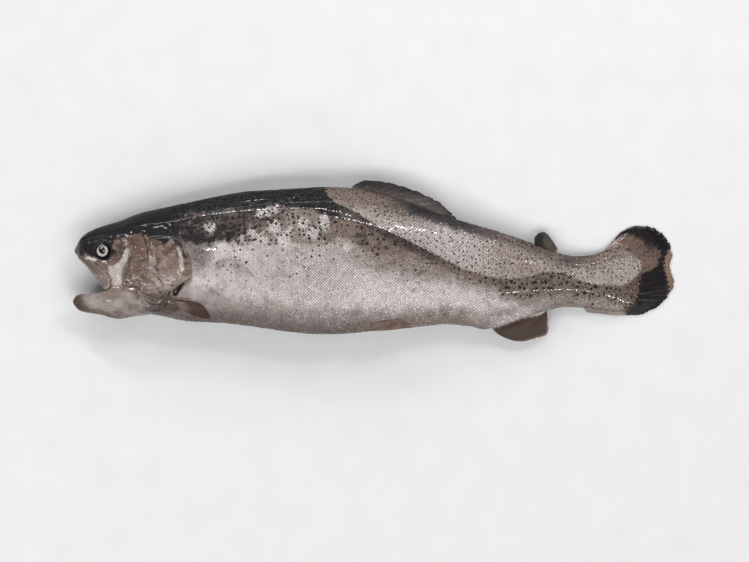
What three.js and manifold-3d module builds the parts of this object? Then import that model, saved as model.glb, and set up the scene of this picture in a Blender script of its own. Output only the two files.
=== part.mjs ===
// A rainbow trout lying on its right side with its mouth open, at life size.
//
// Millimetres, +Z up. The fish lies on the floor: +X runs from snout to tail, +Y towards the back,
// and +Z from the right flank, which is pressed flat on the floor, to the left flank.
// Shapes are worked out in a fish frame with x = 0 at the snout and y = 0 on the body's axis.
// The finished group is then moved so that its origin is the middle of its footprint.
import * as THREE from 'three';
import { mergeVertices } from 'three/addons/utils/BufferGeometryUtils.js';
import Module from 'manifold-3d';

const wasm = await Module();
wasm.setup();

// ---- driving dimensions ----
const GAP = 0.32; // clear space between neighbouring pieces
const ROUNDNESS = 2.2; // exponent of the body's cross-section: 2 is an ellipse, more is boxier
const EYE = { x: 18, y: 6.6, radius: 5.6, depth: 3.9, bulge: 0.9 };
const GILL_PLATE = { proud: 0.8, deep: 1.8 };
const MAXILLA = { proud: 0.9, deep: 1.0 };
const TONGUE = { x: 15, y: -26.4, size: [10, 3.4, 4.6] };
const STOCK_START = 238; // where the trunk ends and the tail stock begins
const PAIRED_FIN = { root: 0.9, rim: 0.7, clear: 0.15 }; // thicknesses, and how far it stands off the flank
const LEFT_FROM = 17; // the left flank's plates are above this height
const RIGHT_TO = 16.4; // and the right flank's are below this one
const REACH = { front: -30, rear: 400, side: 80, over: 60 }; // cutting tools reach this far past the fish
const BODY_GRID = { sides: 32, rings: 46, ends: 0.5 };
const MOUTH_GRID = { sides: 24, rings: 20 };
const SIMPLER = 0.07; // how far a surface may move when slivers left by the cuts are cleared

// A smooth function through a few [x, value] points, which never overshoots them.
function through(points) {
  const slope = (i) => (points[i + 1][1] - points[i][1]) / (points[i + 1][0] - points[i][0]);
  const tangents = points.map((_, i) => {
    if (i === 0) return slope(0);
    if (i === points.length - 1) return slope(i - 1);
    const before = slope(i - 1);
    const after = slope(i);
    return before * after <= 0 ? 0 : (2 * before * after) / (before + after);
  });
  return (x) => {
    const last = points.length - 2;
    let i = 0;
    while (i < last && x > points[i + 1][0]) i += 1;
    const [x0, y0] = points[i];
    const [x1, y1] = points[i + 1];
    const w = x1 - x0;
    const t = THREE.MathUtils.clamp((x - x0) / w, 0, 1);
    const a = y0 * (1 + 2 * t) * (1 - t) ** 2 + y1 * t * t * (3 - 2 * t);
    return a + w * (tangents[i] * t * (1 - t) ** 2 - tangents[i + 1] * t * t * (1 - t));
  };
}

// Height of the fish's middle plane over the floor: the limp tail sinks, the stiff head stays level.
const lift = through([[0, 14.6], [20, 15.6], [50, 17.2], [100, 19.2], [148, 19.8], [184, 18.2], [220, 14.8],
  [250, 11.6], [284, 8.2], [301, 6.2], [322, 4.2], [343, 2.3], [364, 1]]);

// ---- envelopes: each is a set of outlines along x, with round ends ----
const fish = {
  from: 0, to: 344, noseRound: 6, endRound: 14,
  top: through([[0, 13.5], [4.2, 15.2], [10, 18.8], [16, 21.2], [28, 24.8], [40, 29.6], [52, 32.2],
    [70, 36.2], [94, 41.2], [118, 44.2], [148, 45.5], [166, 45], [184, 41.3], [202, 35], [220, 29],
    [244, 22], [268, 14.6], [286, 7.6], [301, 3.8], [310, 4.2], [322, 7.8], [332, 10.4], [344, 11]]),
  bottom: through([[0, 2.6], [4.2, 0.8], [10.2, -5], [16.5, -13], [22, -21], [28, -26], [40, -30.4],
    [52, -32.4], [70, -36], [88, -36.8], [106, -38.8], [124, -41.5], [148, -43.8], [166, -43.2],
    [184, -41.2], [202, -40], [220, -37.9], [232, -37.8], [247, -41], [256, -39.4], [270, -34],
    [284, -29.8], [296, -27.2], [310, -28.2], [322, -30], [332, -31], [344, -31]]),
  waist: through([[0, 6.5], [4, 5], [10, 0], [16, -4], [22, -4], [30, -3], [40, -1], [52, 0], [148, 0],
    [184, -1], [220, -4], [250, -8], [284, -11], [301, -12], [322, -11], [344, -10]]),
  half: through([[0, 5], [4, 6.6], [10, 9.2], [16, 11.6], [22, 13.6], [30, 15.4], [40, 17.4], [52, 18.8],
    [62, 18.8], [72, 18.4], [90, 20], [118, 21.6], [148, 22], [184, 20], [220, 16.4], [250, 12.8], [284, 9],
    [301, 6.8], [322, 4.6], [335, 2.9], [344, 1.9]]),
};
const jaw = {
  from: -0.6, to: 52, noseRound: 5, endRound: 8,
  top: through([[-0.6, -21], [4.2, -18.6], [10, -17.8], [16.8, -16], [22, -14], [30, -13], [52, -16]]),
  bottom: through([[-0.6, -27.5], [4.2, -29.6], [10, -30.8], [16.8, -31.8], [22, -33.4], [27.5, -34.3],
    [34, -33.2], [46, -31.8], [52, -31.5]]),
  waist: through([[-0.6, -23.6], [4, -22], [10, -21.4], [16.8, -20], [28, -20], [52, -22]]),
  half: through([[-0.6, 4.5], [4.2, 7], [10, 9.2], [16.8, 11.6], [28, 14], [40, 15.5], [52, 15]]),
};
const mouth = {
  from: 2.6, to: 50, noseRound: 4, endRound: 8,
  top: through([[2.6, 3], [6, 2.5], [10, -0.5], [16, -6], [24, -9], [36, -12], [50, -15]]),
  bottom: through([[2.6, -24], [6, -25.5], [10, -27], [18, -28.5], [28, -29], [40, -26], [50, -22]]),
  waist: through([[2.6, -12], [50, -18]]),
  half: through([[2.6, 3.4], [6, 5.2], [10, 6.8], [16, 9.2], [24, 11], [34, 11], [44, 8], [50, 5]]),
};

// Share of full size at x, which rounds off an envelope's two ends.
function endShare(shape, x) {
  const nose = Math.max(0, 1 - (x - shape.from) / shape.noseRound);
  const end = Math.max(0, 1 - (shape.to - x) / shape.endRound);
  return Math.sqrt(Math.max(0, 1 - nose * nose)) * Math.sqrt(Math.max(0, 1 - end * end));
}

// The envelope's measures at x, made larger all round by grow.
function measures(shape, x, grow) {
  const share = endShare(shape, x);
  const middle = shape.waist(x);
  return {
    middle,
    up: Math.max(0.02, (shape.top(x) - middle) * share + grow),
    down: Math.max(0.02, (middle - shape.bottom(x)) * share + grow),
    side: Math.max(0.02, shape.half(x) * share + grow),
  };
}

const power = (value) => Math.sign(value) * Math.abs(value) ** (2 / ROUNDNESS);

// Where the skin of the left flank lies over (x, y), as a height from the middle plane.
function flank(shape, x, y) {
  const { middle, up, down, side } = measures(shape, x, 0);
  const reach = Math.min(1, Math.abs(y - middle) / (y > middle ? up : down));
  return side * (1 - reach ** ROUNDNESS) ** (1 / ROUNDNESS);
}

// ---- solids ----
function solid(geometry) {
  const plain = geometry.clone();
  plain.deleteAttribute('normal');
  plain.deleteAttribute('uv');
  const merged = mergeVertices(plain, 1e-4);
  const vertProperties = merged.attributes.position.array;
  const triVerts = new Uint32Array(merged.index.array);
  const made = new wasm.Manifold(new wasm.Mesh({ numProp: 3, vertProperties, triVerts }));
  if (made.volume() > 0) return made;
  // A web whose rim runs the other way round its root comes out inside out, so it is turned back.
  return new wasm.Manifold(new wasm.Mesh({ numProp: 3, vertProperties, triVerts: triVerts.reverse() }));
}

// Moves every vertex of a geometry by a function from THREE.Vector3 to THREE.Vector3.
function reshape(geometry, move) {
  const position = geometry.attributes.position;
  const point = new THREE.Vector3();
  for (let i = 0; i < position.count; i += 1) {
    const moved = move(point.fromBufferAttribute(position, i));
    position.setXYZ(i, moved.x, moved.y, moved.z);
  }
  return geometry;
}

// A sphere stretched along x until it fills an envelope, flattened where it lies on the floor.
function loft(shape, { grow = 0, sides = 36, rings = 40, ends = 1 } = {}) {
  const ball = new THREE.SphereGeometry(1, sides, rings).rotateZ(Math.PI / 2);
  const floor = Math.max(0, -grow);
  const made = reshape(ball, (p) => {
    const even = Math.acos(THREE.MathUtils.clamp(-p.x, -1, 1)) / Math.PI;
    const along = THREE.MathUtils.lerp(even, (1 + p.x) / 2, ends);
    const x = shape.from - grow + (shape.to - shape.from + 2 * grow) * along;
    const inside = THREE.MathUtils.clamp(x, shape.from, shape.to);
    const { middle, up, down, side } = measures(shape, inside, grow);
    const radius = Math.hypot(p.y, p.z) || 1;
    const atPole = Math.hypot(p.y, p.z) < 1e-6 ? 0 : 1;
    const high = power(p.y / radius) * atPole;
    const wide = power(p.z / radius) * atPole;
    const z = lift(inside) + wide * side;
    return new THREE.Vector3(x, middle + high * (high > 0 ? up : down), Math.max(z, floor));
  });
  return solid(made);
}

// A flat outline in x and y, extruded between two heights.
function slab(points, low = -5, high = REACH.over) {
  const outline = new THREE.Shape(points.map(([x, y]) => new THREE.Vector2(x, y)));
  const geometry = new THREE.ExtrudeGeometry(outline, { depth: high - low, bevelEnabled: false });
  return solid(geometry.translate(0, 0, low));
}

// An outline moved outwards by a distance, for an anticlockwise outline.
function widened(points, distance) {
  return points.map(([x, y], i) => {
    const [x0, y0] = points.at(i - 1);
    const [x1, y1] = points[(i + 1) % points.length];
    const length = Math.hypot(x1 - x0, y1 - y0);
    return [x + ((y1 - y0) / length) * distance, y - ((x1 - x0) / length) * distance];
  });
}

const ground = [[REACH.front, -REACH.side], [REACH.rear, -REACH.side], [REACH.rear, REACH.side],
  [REACH.front, REACH.side]];
const leftSide = slab(ground, LEFT_FROM, REACH.side);
const rightSide = slab(ground, -REACH.side, RIGHT_TO);

// A bony plate that follows the head's side inside an outline, and the pocket it sits in.
function sidePlate(outline, { proud, deep }) {
  const outer = loft(fish, { grow: proud, ...BODY_GRID });
  const inner = loft(fish, { grow: -deep, ...BODY_GRID });
  const bed = loft(fish, { grow: -deep - GAP, ...BODY_GRID });
  return {
    plate: slab(outline).intersect(outer).subtract(inner),
    pocket: slab(widened(outline, GAP)).subtract(bed),
  };
}

function ellipsoid(x, y, z, [a, b, c], detail = 16) {
  return solid(new THREE.SphereGeometry(1, detail, detail * 0.6).scale(a, b, c).translate(x, y, z));
}

// ---- outlines of the plates and cuts, in the fish frame ----
const MAXILLA_OUTLINE = [[2.6, 2.6], [5.4, 0], [9.6, -4.8], [13.5, -9.8], [17.2, -15], [20.2, -16],
  [22.4, -13.8], [22.2, -9.6], [19.2, -5], [14.8, -1.6], [10, 2], [6.4, 4.2], [3.6, 5.2]];
const GILL_EDGE = [[61.2, 40], [62, 24], [64.8, 15.4], [69.2, 6.2], [71.6, 0.6], [72, -5.6], [70.6, -10],
  [66.2, -13.4], [61.6, -16.8], [58.6, -20], [55.8, -26.4], [53.6, -34], [52.6, -40]];
const GILL_FRONT = [[46.2, 14], [47, 4], [45, -4], [41.4, -12], [40.4, -19], [42.6, -25.4]];
const GILL_TOP = 14.2; // the gill cover's upper edge

const gillCurve = new THREE.SplineCurve(GILL_EDGE.map(([x, y]) => new THREE.Vector2(x, y)));
const gillEdge = gillCurve.getPoints(26).map((p) => [p.x, p.y]);
const gillRear = gillEdge.filter(([, y]) => y < GILL_TOP - 1 && y > -27).reverse();
const gillOutline = (rear) => [
  ...GILL_FRONT.slice(1), [48, -27.4], ...gillRear.map(([x, y]) => [x + rear, y]),
  [60, GILL_TOP], [53, GILL_TOP + 0.6], GILL_FRONT[0],
];
const JAW_CUT = [[18.4, -14.4], [26, -20.5], [34, -27], [38.5, -38]]; // its rear edge, downwards
const JAW_OUTLINE = [[-10, -50], [38.5, -50], ...[...JAW_CUT].reverse(), [16.6, -12], [-10, -10]];

// ---- fins ----
// A fin is a web between a root curve and an outer edge curve, thick at the root and thin at the rim.
function web({ root, edge, thick, height, across = 12, along = 6 }) {
  const curveOf = (points) => new THREE.SplineCurve(points.map(([x, y]) => new THREE.Vector2(x, y)));
  const rootCurve = curveOf(root);
  const edgeCurve = curveOf(edge);
  const sheet = new THREE.BoxGeometry(1, 1, 1, across, along, 1);
  return solid(reshape(sheet, (p) => {
    const u = p.x + 0.5;
    const v = 0.5 - p.y;
    const start = rootCurve.getPoint(u);
    const end = edgeCurve.getPoint(u);
    const at = start.clone().lerp(end, v);
    const halfThick = THREE.MathUtils.lerp(thick[0], thick[1], v) / 2;
    return new THREE.Vector3(at.x, at.y, height(at, v, start) - 2 * p.z * halfThick);
  }));
}

const sinking = (drop) => (at, v, start) => lift(start.x) - drop * v;
const onFlank = (side, thick) => (at) => {
  const out = flank(fish, at.x, at.y) + GAP + thick / 2 + PAIRED_FIN.clear;
  return Math.max(lift(at.x) + side * out, thick / 2);
};

const FINS = {
  fin_dorsal: {
    root: [[166.4, 42], [184, 38.6], [205, 31.4]],
    edge: [[170.6, 46.6], [176, 49], [188, 48], [200, 45], [212, 40.8], [222, 35.2], [230.5, 26]],
    thick: [2.2, 0.7], height: sinking(6), across: 16,
  },
  fin_adipose: {
    root: [[278.4, 8], [283, 6.4], [289, 3.6]], edge: [[277.6, 15.4], [283.6, 18.6], [291.6, 8.2]],
    thick: [2.4, 1], height: sinking(1.5), across: 8, along: 5,
  },
  fin_anal: {
    root: [[250, -38.6], [264, -34], [284, -27.4]], edge: [[262.5, -47.4], [275, -47.6], [285.4, -42.6]],
    thick: [2.2, 0.7], height: sinking(3),
  },
  fin_caudal: {
    root: [[317, 4], [326, -2], [329, -11], [324, -21], [310, -26]],
    edge: [[331, 18], [342, 22.2], [355, 18.6], [362, 7], [361.6, -6], [363, -13], [357, -23.4],
      [344, -31.6], [326, -32], [310.4, -30]],
    thick: [1.8, 0.6], height: (at, v, start) => Math.max(0.5, lift(start.x) * (1 - v) + 0.5 * v),
    across: 30, along: 7,
  },
};
const PAIRED = {
  fin_pectoral: {
    root: [[62.2, -23.4], [63, -25.4], [65.4, -28.2]],
    edge: [[74, -24], [78.6, -26.6], [82.2, -33], [80, -34], [74, -32.6]],
  },
  fin_pelvic: { root: [[178.6, -41], [181, -37]], edge: [[190, -38.6], [202.4, -37.4], [193, -34.6]] },
};

// ---- the body, made whole and then parted with thin cuts ----
const body = loft(fish, BODY_GRID);
const cavity = loft(mouth, MOUTH_GRID);
const { plate: gillPlates } = sidePlate(gillOutline(-0.35), GILL_PLATE);
const { pocket: gillPocket } = sidePlate(gillOutline(1), GILL_PLATE);
const { plate: maxillas, pocket: maxillaPocket } = sidePlate(MAXILLA_OUTLINE, MAXILLA);
const moved = (line, shift) => line.map(([x, y]) => [x + shift, y]);
const ahead = (line, shift) => slab([[REACH.front, REACH.over], [REACH.front, -REACH.over],
  ...moved(line, -shift).reverse()]);
const behind = (line, shift) => slab([[REACH.rear, -REACH.over], [REACH.rear, REACH.over],
  ...moved(line, shift)]);

const eyeHeight = flank(fish, EYE.x, EYE.y) - EYE.depth + EYE.bulge;
const eyeSize = [EYE.radius, EYE.radius, EYE.depth];
const eyeAt = (side, extra = 0) => ellipsoid(EYE.x, EYE.y, lift(EYE.x) + side * eyeHeight,
  eyeSize.map((r) => r + extra));

const jawRegion = slab(JAW_OUTLINE);
const jawClear = slab(widened(JAW_OUTLINE, GAP));
const throat = loft(jaw, { sides: 32, rings: 24 });
const headWhole = body.add(throat).subtract(cavity);
const stockCut = [[STOCK_START, REACH.over], [STOCK_START, -REACH.over]];
const tongueWhole = ellipsoid(TONGUE.x, TONGUE.y, lift(TONGUE.x), TONGUE.size);

const pieces = {
  head: headWhole.intersect(ahead(gillEdge, GAP)).subtract(jawClear)
    .subtract(gillPocket).subtract(maxillaPocket).subtract(eyeAt(1, GAP)).subtract(eyeAt(-1, GAP)),
  jaw_lower: headWhole.intersect(jawRegion).subtract(maxillaPocket),
  tongue: tongueWhole.intersect(loft(mouth, { grow: -GAP, ...MOUTH_GRID })),
  gill_cover_left: gillPlates.intersect(leftSide),
  gill_cover_right: gillPlates.intersect(rightSide),
  maxilla_left: maxillas.intersect(leftSide).subtract(eyeAt(1, GAP)),
  maxilla_right: maxillas.intersect(rightSide).subtract(eyeAt(-1, GAP)),
  eye_left: eyeAt(1),
  eye_right: eyeAt(-1),
  trunk: body.intersect(behind(gillEdge, GAP)).intersect(ahead(stockCut, GAP / 2)),
  tail_stock: body.intersect(behind(stockCut, GAP / 2)),
};
const clearance = loft(fish, { grow: GAP, ...BODY_GRID });
for (const [name, fin] of Object.entries(FINS)) {
  pieces[name] = web(fin).subtract(clearance);
}
for (const [name, fin] of Object.entries(PAIRED)) {
  for (const [word, side] of [['left', 1], ['right', -1]]) {
    const height = onFlank(side, PAIRED_FIN.root);
    const thick = [PAIRED_FIN.root, PAIRED_FIN.rim];
    pieces[`${name}_${word}`] = web({ ...fin, thick, height, across: 8, along: 5 });
  }
}

// ---- materials and the finished group ----
const finish = (color, roughness) => new THREE.MeshStandardMaterial({ color, roughness, metalness: 0 });
const MATERIALS = {
  skin: finish(0xa39a94, 0.32),
  head: finish(0x7d6a60, 0.3),
  fin: finish(0x5a4a40, 0.4),
  eye: finish(0xb9b2a4, 0.12),
  mouth: finish(0xb79a90, 0.3),
};
function materialOf(name) {
  if (name.startsWith('fin')) return MATERIALS.fin;
  if (name.startsWith('eye')) return MATERIALS.eye;
  if (name === 'tongue') return MATERIALS.mouth;
  return ['trunk', 'tail_stock'].includes(name) ? MATERIALS.skin : MATERIALS.head;
}

const trout = new THREE.Group();
for (const [name, piece] of Object.entries(pieces)) {
  const { vertProperties, triVerts } = piece.simplify(SIMPLER).getMesh();
  const geometry = new THREE.BufferGeometry();
  geometry.setAttribute('position', new THREE.BufferAttribute(vertProperties, 3));
  geometry.setIndex(new THREE.BufferAttribute(triVerts, 1));
  geometry.computeVertexNormals();
  const mesh = new THREE.Mesh(geometry, materialOf(name));
  mesh.name = name;
  trout.add(mesh);
}

const box = new THREE.Box3().setFromObject(trout);
const centre = box.getCenter(new THREE.Vector3());
trout.position.set(-centre.x, -centre.y, -box.min.z);

export default trout;
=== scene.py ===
import math
import random

import bmesh
import bpy
import numpy as np
from mathutils import Matrix, Vector, noise
from mathutils.bvhtree import BVHTree


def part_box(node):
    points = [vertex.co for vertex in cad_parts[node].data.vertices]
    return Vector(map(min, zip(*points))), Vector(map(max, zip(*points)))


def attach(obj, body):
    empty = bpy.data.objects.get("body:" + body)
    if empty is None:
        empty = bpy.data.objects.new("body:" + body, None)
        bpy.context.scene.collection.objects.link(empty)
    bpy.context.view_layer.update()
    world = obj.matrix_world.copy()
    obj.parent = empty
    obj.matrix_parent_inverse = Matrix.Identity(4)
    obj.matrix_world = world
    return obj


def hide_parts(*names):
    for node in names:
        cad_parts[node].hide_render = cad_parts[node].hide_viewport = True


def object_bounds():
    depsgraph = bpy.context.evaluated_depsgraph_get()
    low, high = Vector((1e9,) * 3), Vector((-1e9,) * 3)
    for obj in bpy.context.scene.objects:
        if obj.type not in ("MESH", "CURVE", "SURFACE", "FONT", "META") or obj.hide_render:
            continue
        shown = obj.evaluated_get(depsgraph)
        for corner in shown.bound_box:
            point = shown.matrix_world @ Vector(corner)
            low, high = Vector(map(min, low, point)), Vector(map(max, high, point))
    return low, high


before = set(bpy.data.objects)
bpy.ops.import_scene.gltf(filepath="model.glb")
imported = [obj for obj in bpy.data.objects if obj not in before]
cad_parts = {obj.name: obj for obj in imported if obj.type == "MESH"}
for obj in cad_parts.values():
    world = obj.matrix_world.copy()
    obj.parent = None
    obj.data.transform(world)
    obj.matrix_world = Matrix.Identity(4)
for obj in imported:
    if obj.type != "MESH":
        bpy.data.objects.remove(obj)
boxLow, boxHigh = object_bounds()

# A rainbow trout lying on its right side. Places on it are given in mm: x back from the tip of the
# snout, y towards the back from an axis through the body, z up from the floor.
mm = 0.001
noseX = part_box("head")[0].x
eyeLow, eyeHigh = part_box("eye_left")
eyePlace = (18, 6.6)
axisY = (eyeLow.y + eyeHigh.y) / 2 - eyePlace[1] * mm
fishLength = (boxHigh.x - noseX) / mm


def spot(x, y, z=0):
    return Vector((noseX + x * mm, axisY + y * mm, z * mm))


def onFish(place):  # a place in metres, as x, y and z on the fish
    return (place.x - noseX) / mm, (place.y - axisY) / mm, place.z / mm


def smoothPath(points, steps=8):  # a soft curve through a few points, as an array of rows
    pts = [np.array(p, float) for p in points]
    pts = [2 * pts[0] - pts[1]] + pts + [2 * pts[-1] - pts[-2]]
    rows = []
    for i in range(1, len(pts) - 2):
        a, b, c, d = pts[i - 1:i + 3]
        for t in np.arange(steps) / steps:
            rows.append(0.5 * (2 * b + (c - a) * t + (2 * a - 5 * b + 4 * c - d) * t ** 2
                               + (3 * b - a - 3 * c + d) * t ** 3))
    return np.array(rows + [pts[-2]])


def ease(value, low, high):  # 0 at low, 1 at high, soft at both
    t = np.clip((value - low) / (high - low), 0, 1)
    return t * t * (3 - 2 * t)


def bell(value, width):  # 1 at 0, fading over the width
    return np.exp(-(value / width) ** 2)


def linked(name, data, material=None):  # an object of the scene
    obj = bpy.data.objects.new(name, data)
    bpy.context.scene.collection.objects.link(obj)
    if material:
        data.materials.append(material)
        data.polygons.foreach_set("use_smooth", np.ones(len(data.polygons), bool))
    return obj


def piece(name, bm, material):  # a finished bmesh as an object of the scene
    mesh = bpy.data.meshes.new(name)
    bm.to_mesh(mesh)
    bm.free()
    return linked(name, mesh, material)


def solidOf(name):  # a copy of one of the frame's solids, with its corners joined
    bm = bmesh.new()
    bm.from_mesh(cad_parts[name].data)
    bmesh.ops.remove_doubles(bm, verts=bm.verts, dist=0.002 * mm)
    return bm


def averaged(verts, value):  # for each vertex the mean value of its neighbours
    return {v: sum(value(e.other_vert(v)) for e in v.link_edges) / len(v.link_edges) for v in verts}


class Wire:  # a socket of a shader, which can be added, multiplied and handed on
    def __init__(self, tree, socket=None):
        self.tree = tree
        self.socket = socket

    def node(self, kind, settings=None, sockets=None, output=0):
        made = self.tree.nodes.new("ShaderNode" + kind)
        for name, value in (settings or {}).items():
            if name == "points":
                curve = made.mapping.curves[0]
                while len(curve.points) < len(value):
                    curve.points.new(0.5, 0.5)
                for point, place in zip(curve.points, value):
                    point.location = place
                    point.handle_type = "AUTO_CLAMPED"
                made.mapping.update()
            else:
                setattr(made, name, value)
        for name, value in (sockets or {}).items():
            if isinstance(value, Wire):
                self.tree.links.new(value.socket, made.inputs[name])
            elif isinstance(value, tuple) and made.inputs[name].type == "RGBA":
                made.inputs[name].default_value = (*value, 1)
            else:
                made.inputs[name].default_value = value
        if isinstance(output, list):
            return [Wire(self.tree, made.outputs[o]) for o in output]
        return Wire(self.tree, made.outputs[output]) if made.outputs else None

    def sum(self, operation, first, second=0):
        return self.node("Math", {"operation": operation}, {0: first, 1: second})

    def __add__(self, other):
        return self.sum("ADD", self, other)

    def __sub__(self, other):
        return self.sum("SUBTRACT", self, other)

    def __rsub__(self, other):
        return self.sum("SUBTRACT", other, self)

    def __mul__(self, other):
        return self.sum("MULTIPLY", self, other)

    __radd__ = __add__
    __rmul__ = __mul__

    def most(self, *others):
        best = self
        for other in others:
            best = self.sum("MAXIMUM", best, other)
        return best

    def rise(self, low, high):  # 0 at low, 1 at high, soft at both
        return self.node("MapRange", {"interpolation_type": "SMOOTHSTEP"},
                         {"Value": self, "From Min": low, "From Max": high})

    def fall(self, low, high):  # 1 at low, 0 at high
        return 1 - self.rise(low, high)

    def window(self, low, inner, outer, high):  # 1 from inner to outer, 0 below low and above high
        return self.rise(low, inner) * self.fall(outer, high)

    def past(self, line, low, high):  # 0 at low before a line, 1 at high past it
        return self.rise(line + low, line + high)

    def short(self, line, low, high):
        return 1 - self.past(line, low, high)

    def parts(self):
        return self.node("SeparateXYZ", {}, {0: self}, [0, 1, 2])

    def mapped(self, kind="POINT", **sockets):
        return self.node("Mapping", {"vector_type": kind}, {"Vector": self, **sockets})

    def away(self, x, y):  # the distance from a place, for a vector that is flat
        return self.node("VectorMath", {"operation": "DISTANCE"}, {0: self, 1: (x, y, 0)}, "Value")

    def tinted(self, shade):
        return self.node("VectorMath", {"operation": "SCALE"}, {0: self, "Scale": shade})

    def attribute(self, name, output="Fac"):
        return self.node("Attribute", {"attribute_name": name}, {}, output)

    def cloud(self, size, seed, detail=3):  # random lumps of that size, about -1 to 1
        fac = self.node("TexNoise", {"noise_dimensions": "4D"},
                        {"Vector": self, "W": seed * 3.7, "Scale": 1 / size, "Detail": detail})
        return (fac - 0.5) * 5.2

    def dots(self, spacing, radius, keep, seed):  # dark dots, one to a cell, kept in a share of the cells
        moved = self.mapped(Location=(seed * 31.7, seed * 17.3, 0))
        far, tint = self.node("TexVoronoi", {"voronoi_dimensions": "2D"},
                              {"Vector": moved, "Scale": 1 / spacing, "Randomness": 0.82},
                              ["Distance", "Color"])
        chance, size, _ = tint.node("SeparateColor", {}, {0: tint}, [0, 1, 2])
        reach = far * spacing + self.cloud(0.9, seed, 1) * (radius * 0.28)
        return (reach - (size * 0.7 + 0.62) * radius).fall(-0.16, 0.22) * (keep - chance).rise(-0.01, 0.01)


def blend(first, second, factor):  # from the first colour to the second
    return factor.node("Mix", {"data_type": "RGBA"}, {0: factor, 6: first, 7: second}, 2)


def painted(colour, shades, layers):  # layers over a colour: each one's shade, or its name, and its strength
    for shade, strength in layers:
        colour = blend(colour, shades[shade] if isinstance(shade, str) else shade, strength)
    return colour


def along(x, points):  # a height in mm that changes along the body, through a few (x, height) points
    lowX, highX = points[0][0], points[-1][0]
    lowY, highY = min(py for _, py in points) - 1, max(py for _, py in points) + 1
    stops = [((px - lowX) / (highX - lowX), (py - lowY) / (highY - lowY)) for px, py in points]
    curve = x.node("FloatCurve", {"points": stops}, {"Value": (x - lowX) * (1 / (highX - lowX))})
    return curve * (highY - lowY) + lowY


def inFishMm(place):
    return place.mapped(Scale=(1 / mm, 1 / mm, 1 / mm), Location=(-noseX / mm, -axisY / mm, 0))


def newMaterial(name):  # and its place on the fish, from the piece's own coordinates
    material = bpy.data.materials.new(name)
    material.use_nodes = True
    material.node_tree.nodes.clear()
    wire = Wire(material.node_tree)
    return material, wire, inFishMm(wire.node("TexCoord", {}, {}, "Object"))


def finishMaterial(wire, colour, rough, bump=None, strength=0.3, distance=0.0003, coat=0.6, coatRough=0.12,
                   soft=0):
    sockets = {"Base Color": colour, "Roughness": rough, "Coat Weight": coat, "Coat Roughness": coatRough,
               "Coat IOR": 1.36, "IOR": 1.42, "Specular IOR Level": 0.06}
    if bump is not None:
        relief = {"Strength": strength, "Distance": distance, "Height": bump}
        sockets["Normal"] = wire.node("Bump", {}, relief)
    if soft:
        sockets["Subsurface Weight"] = soft
        sockets["Subsurface Radius"] = (0.0016, 0.0009, 0.0007)
        sockets["Subsurface Scale"] = 1
    shader = wire.node("BsdfPrincipled", {}, sockets)
    wire.node("OutputMaterial", {}, {"Surface": shader})


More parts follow.
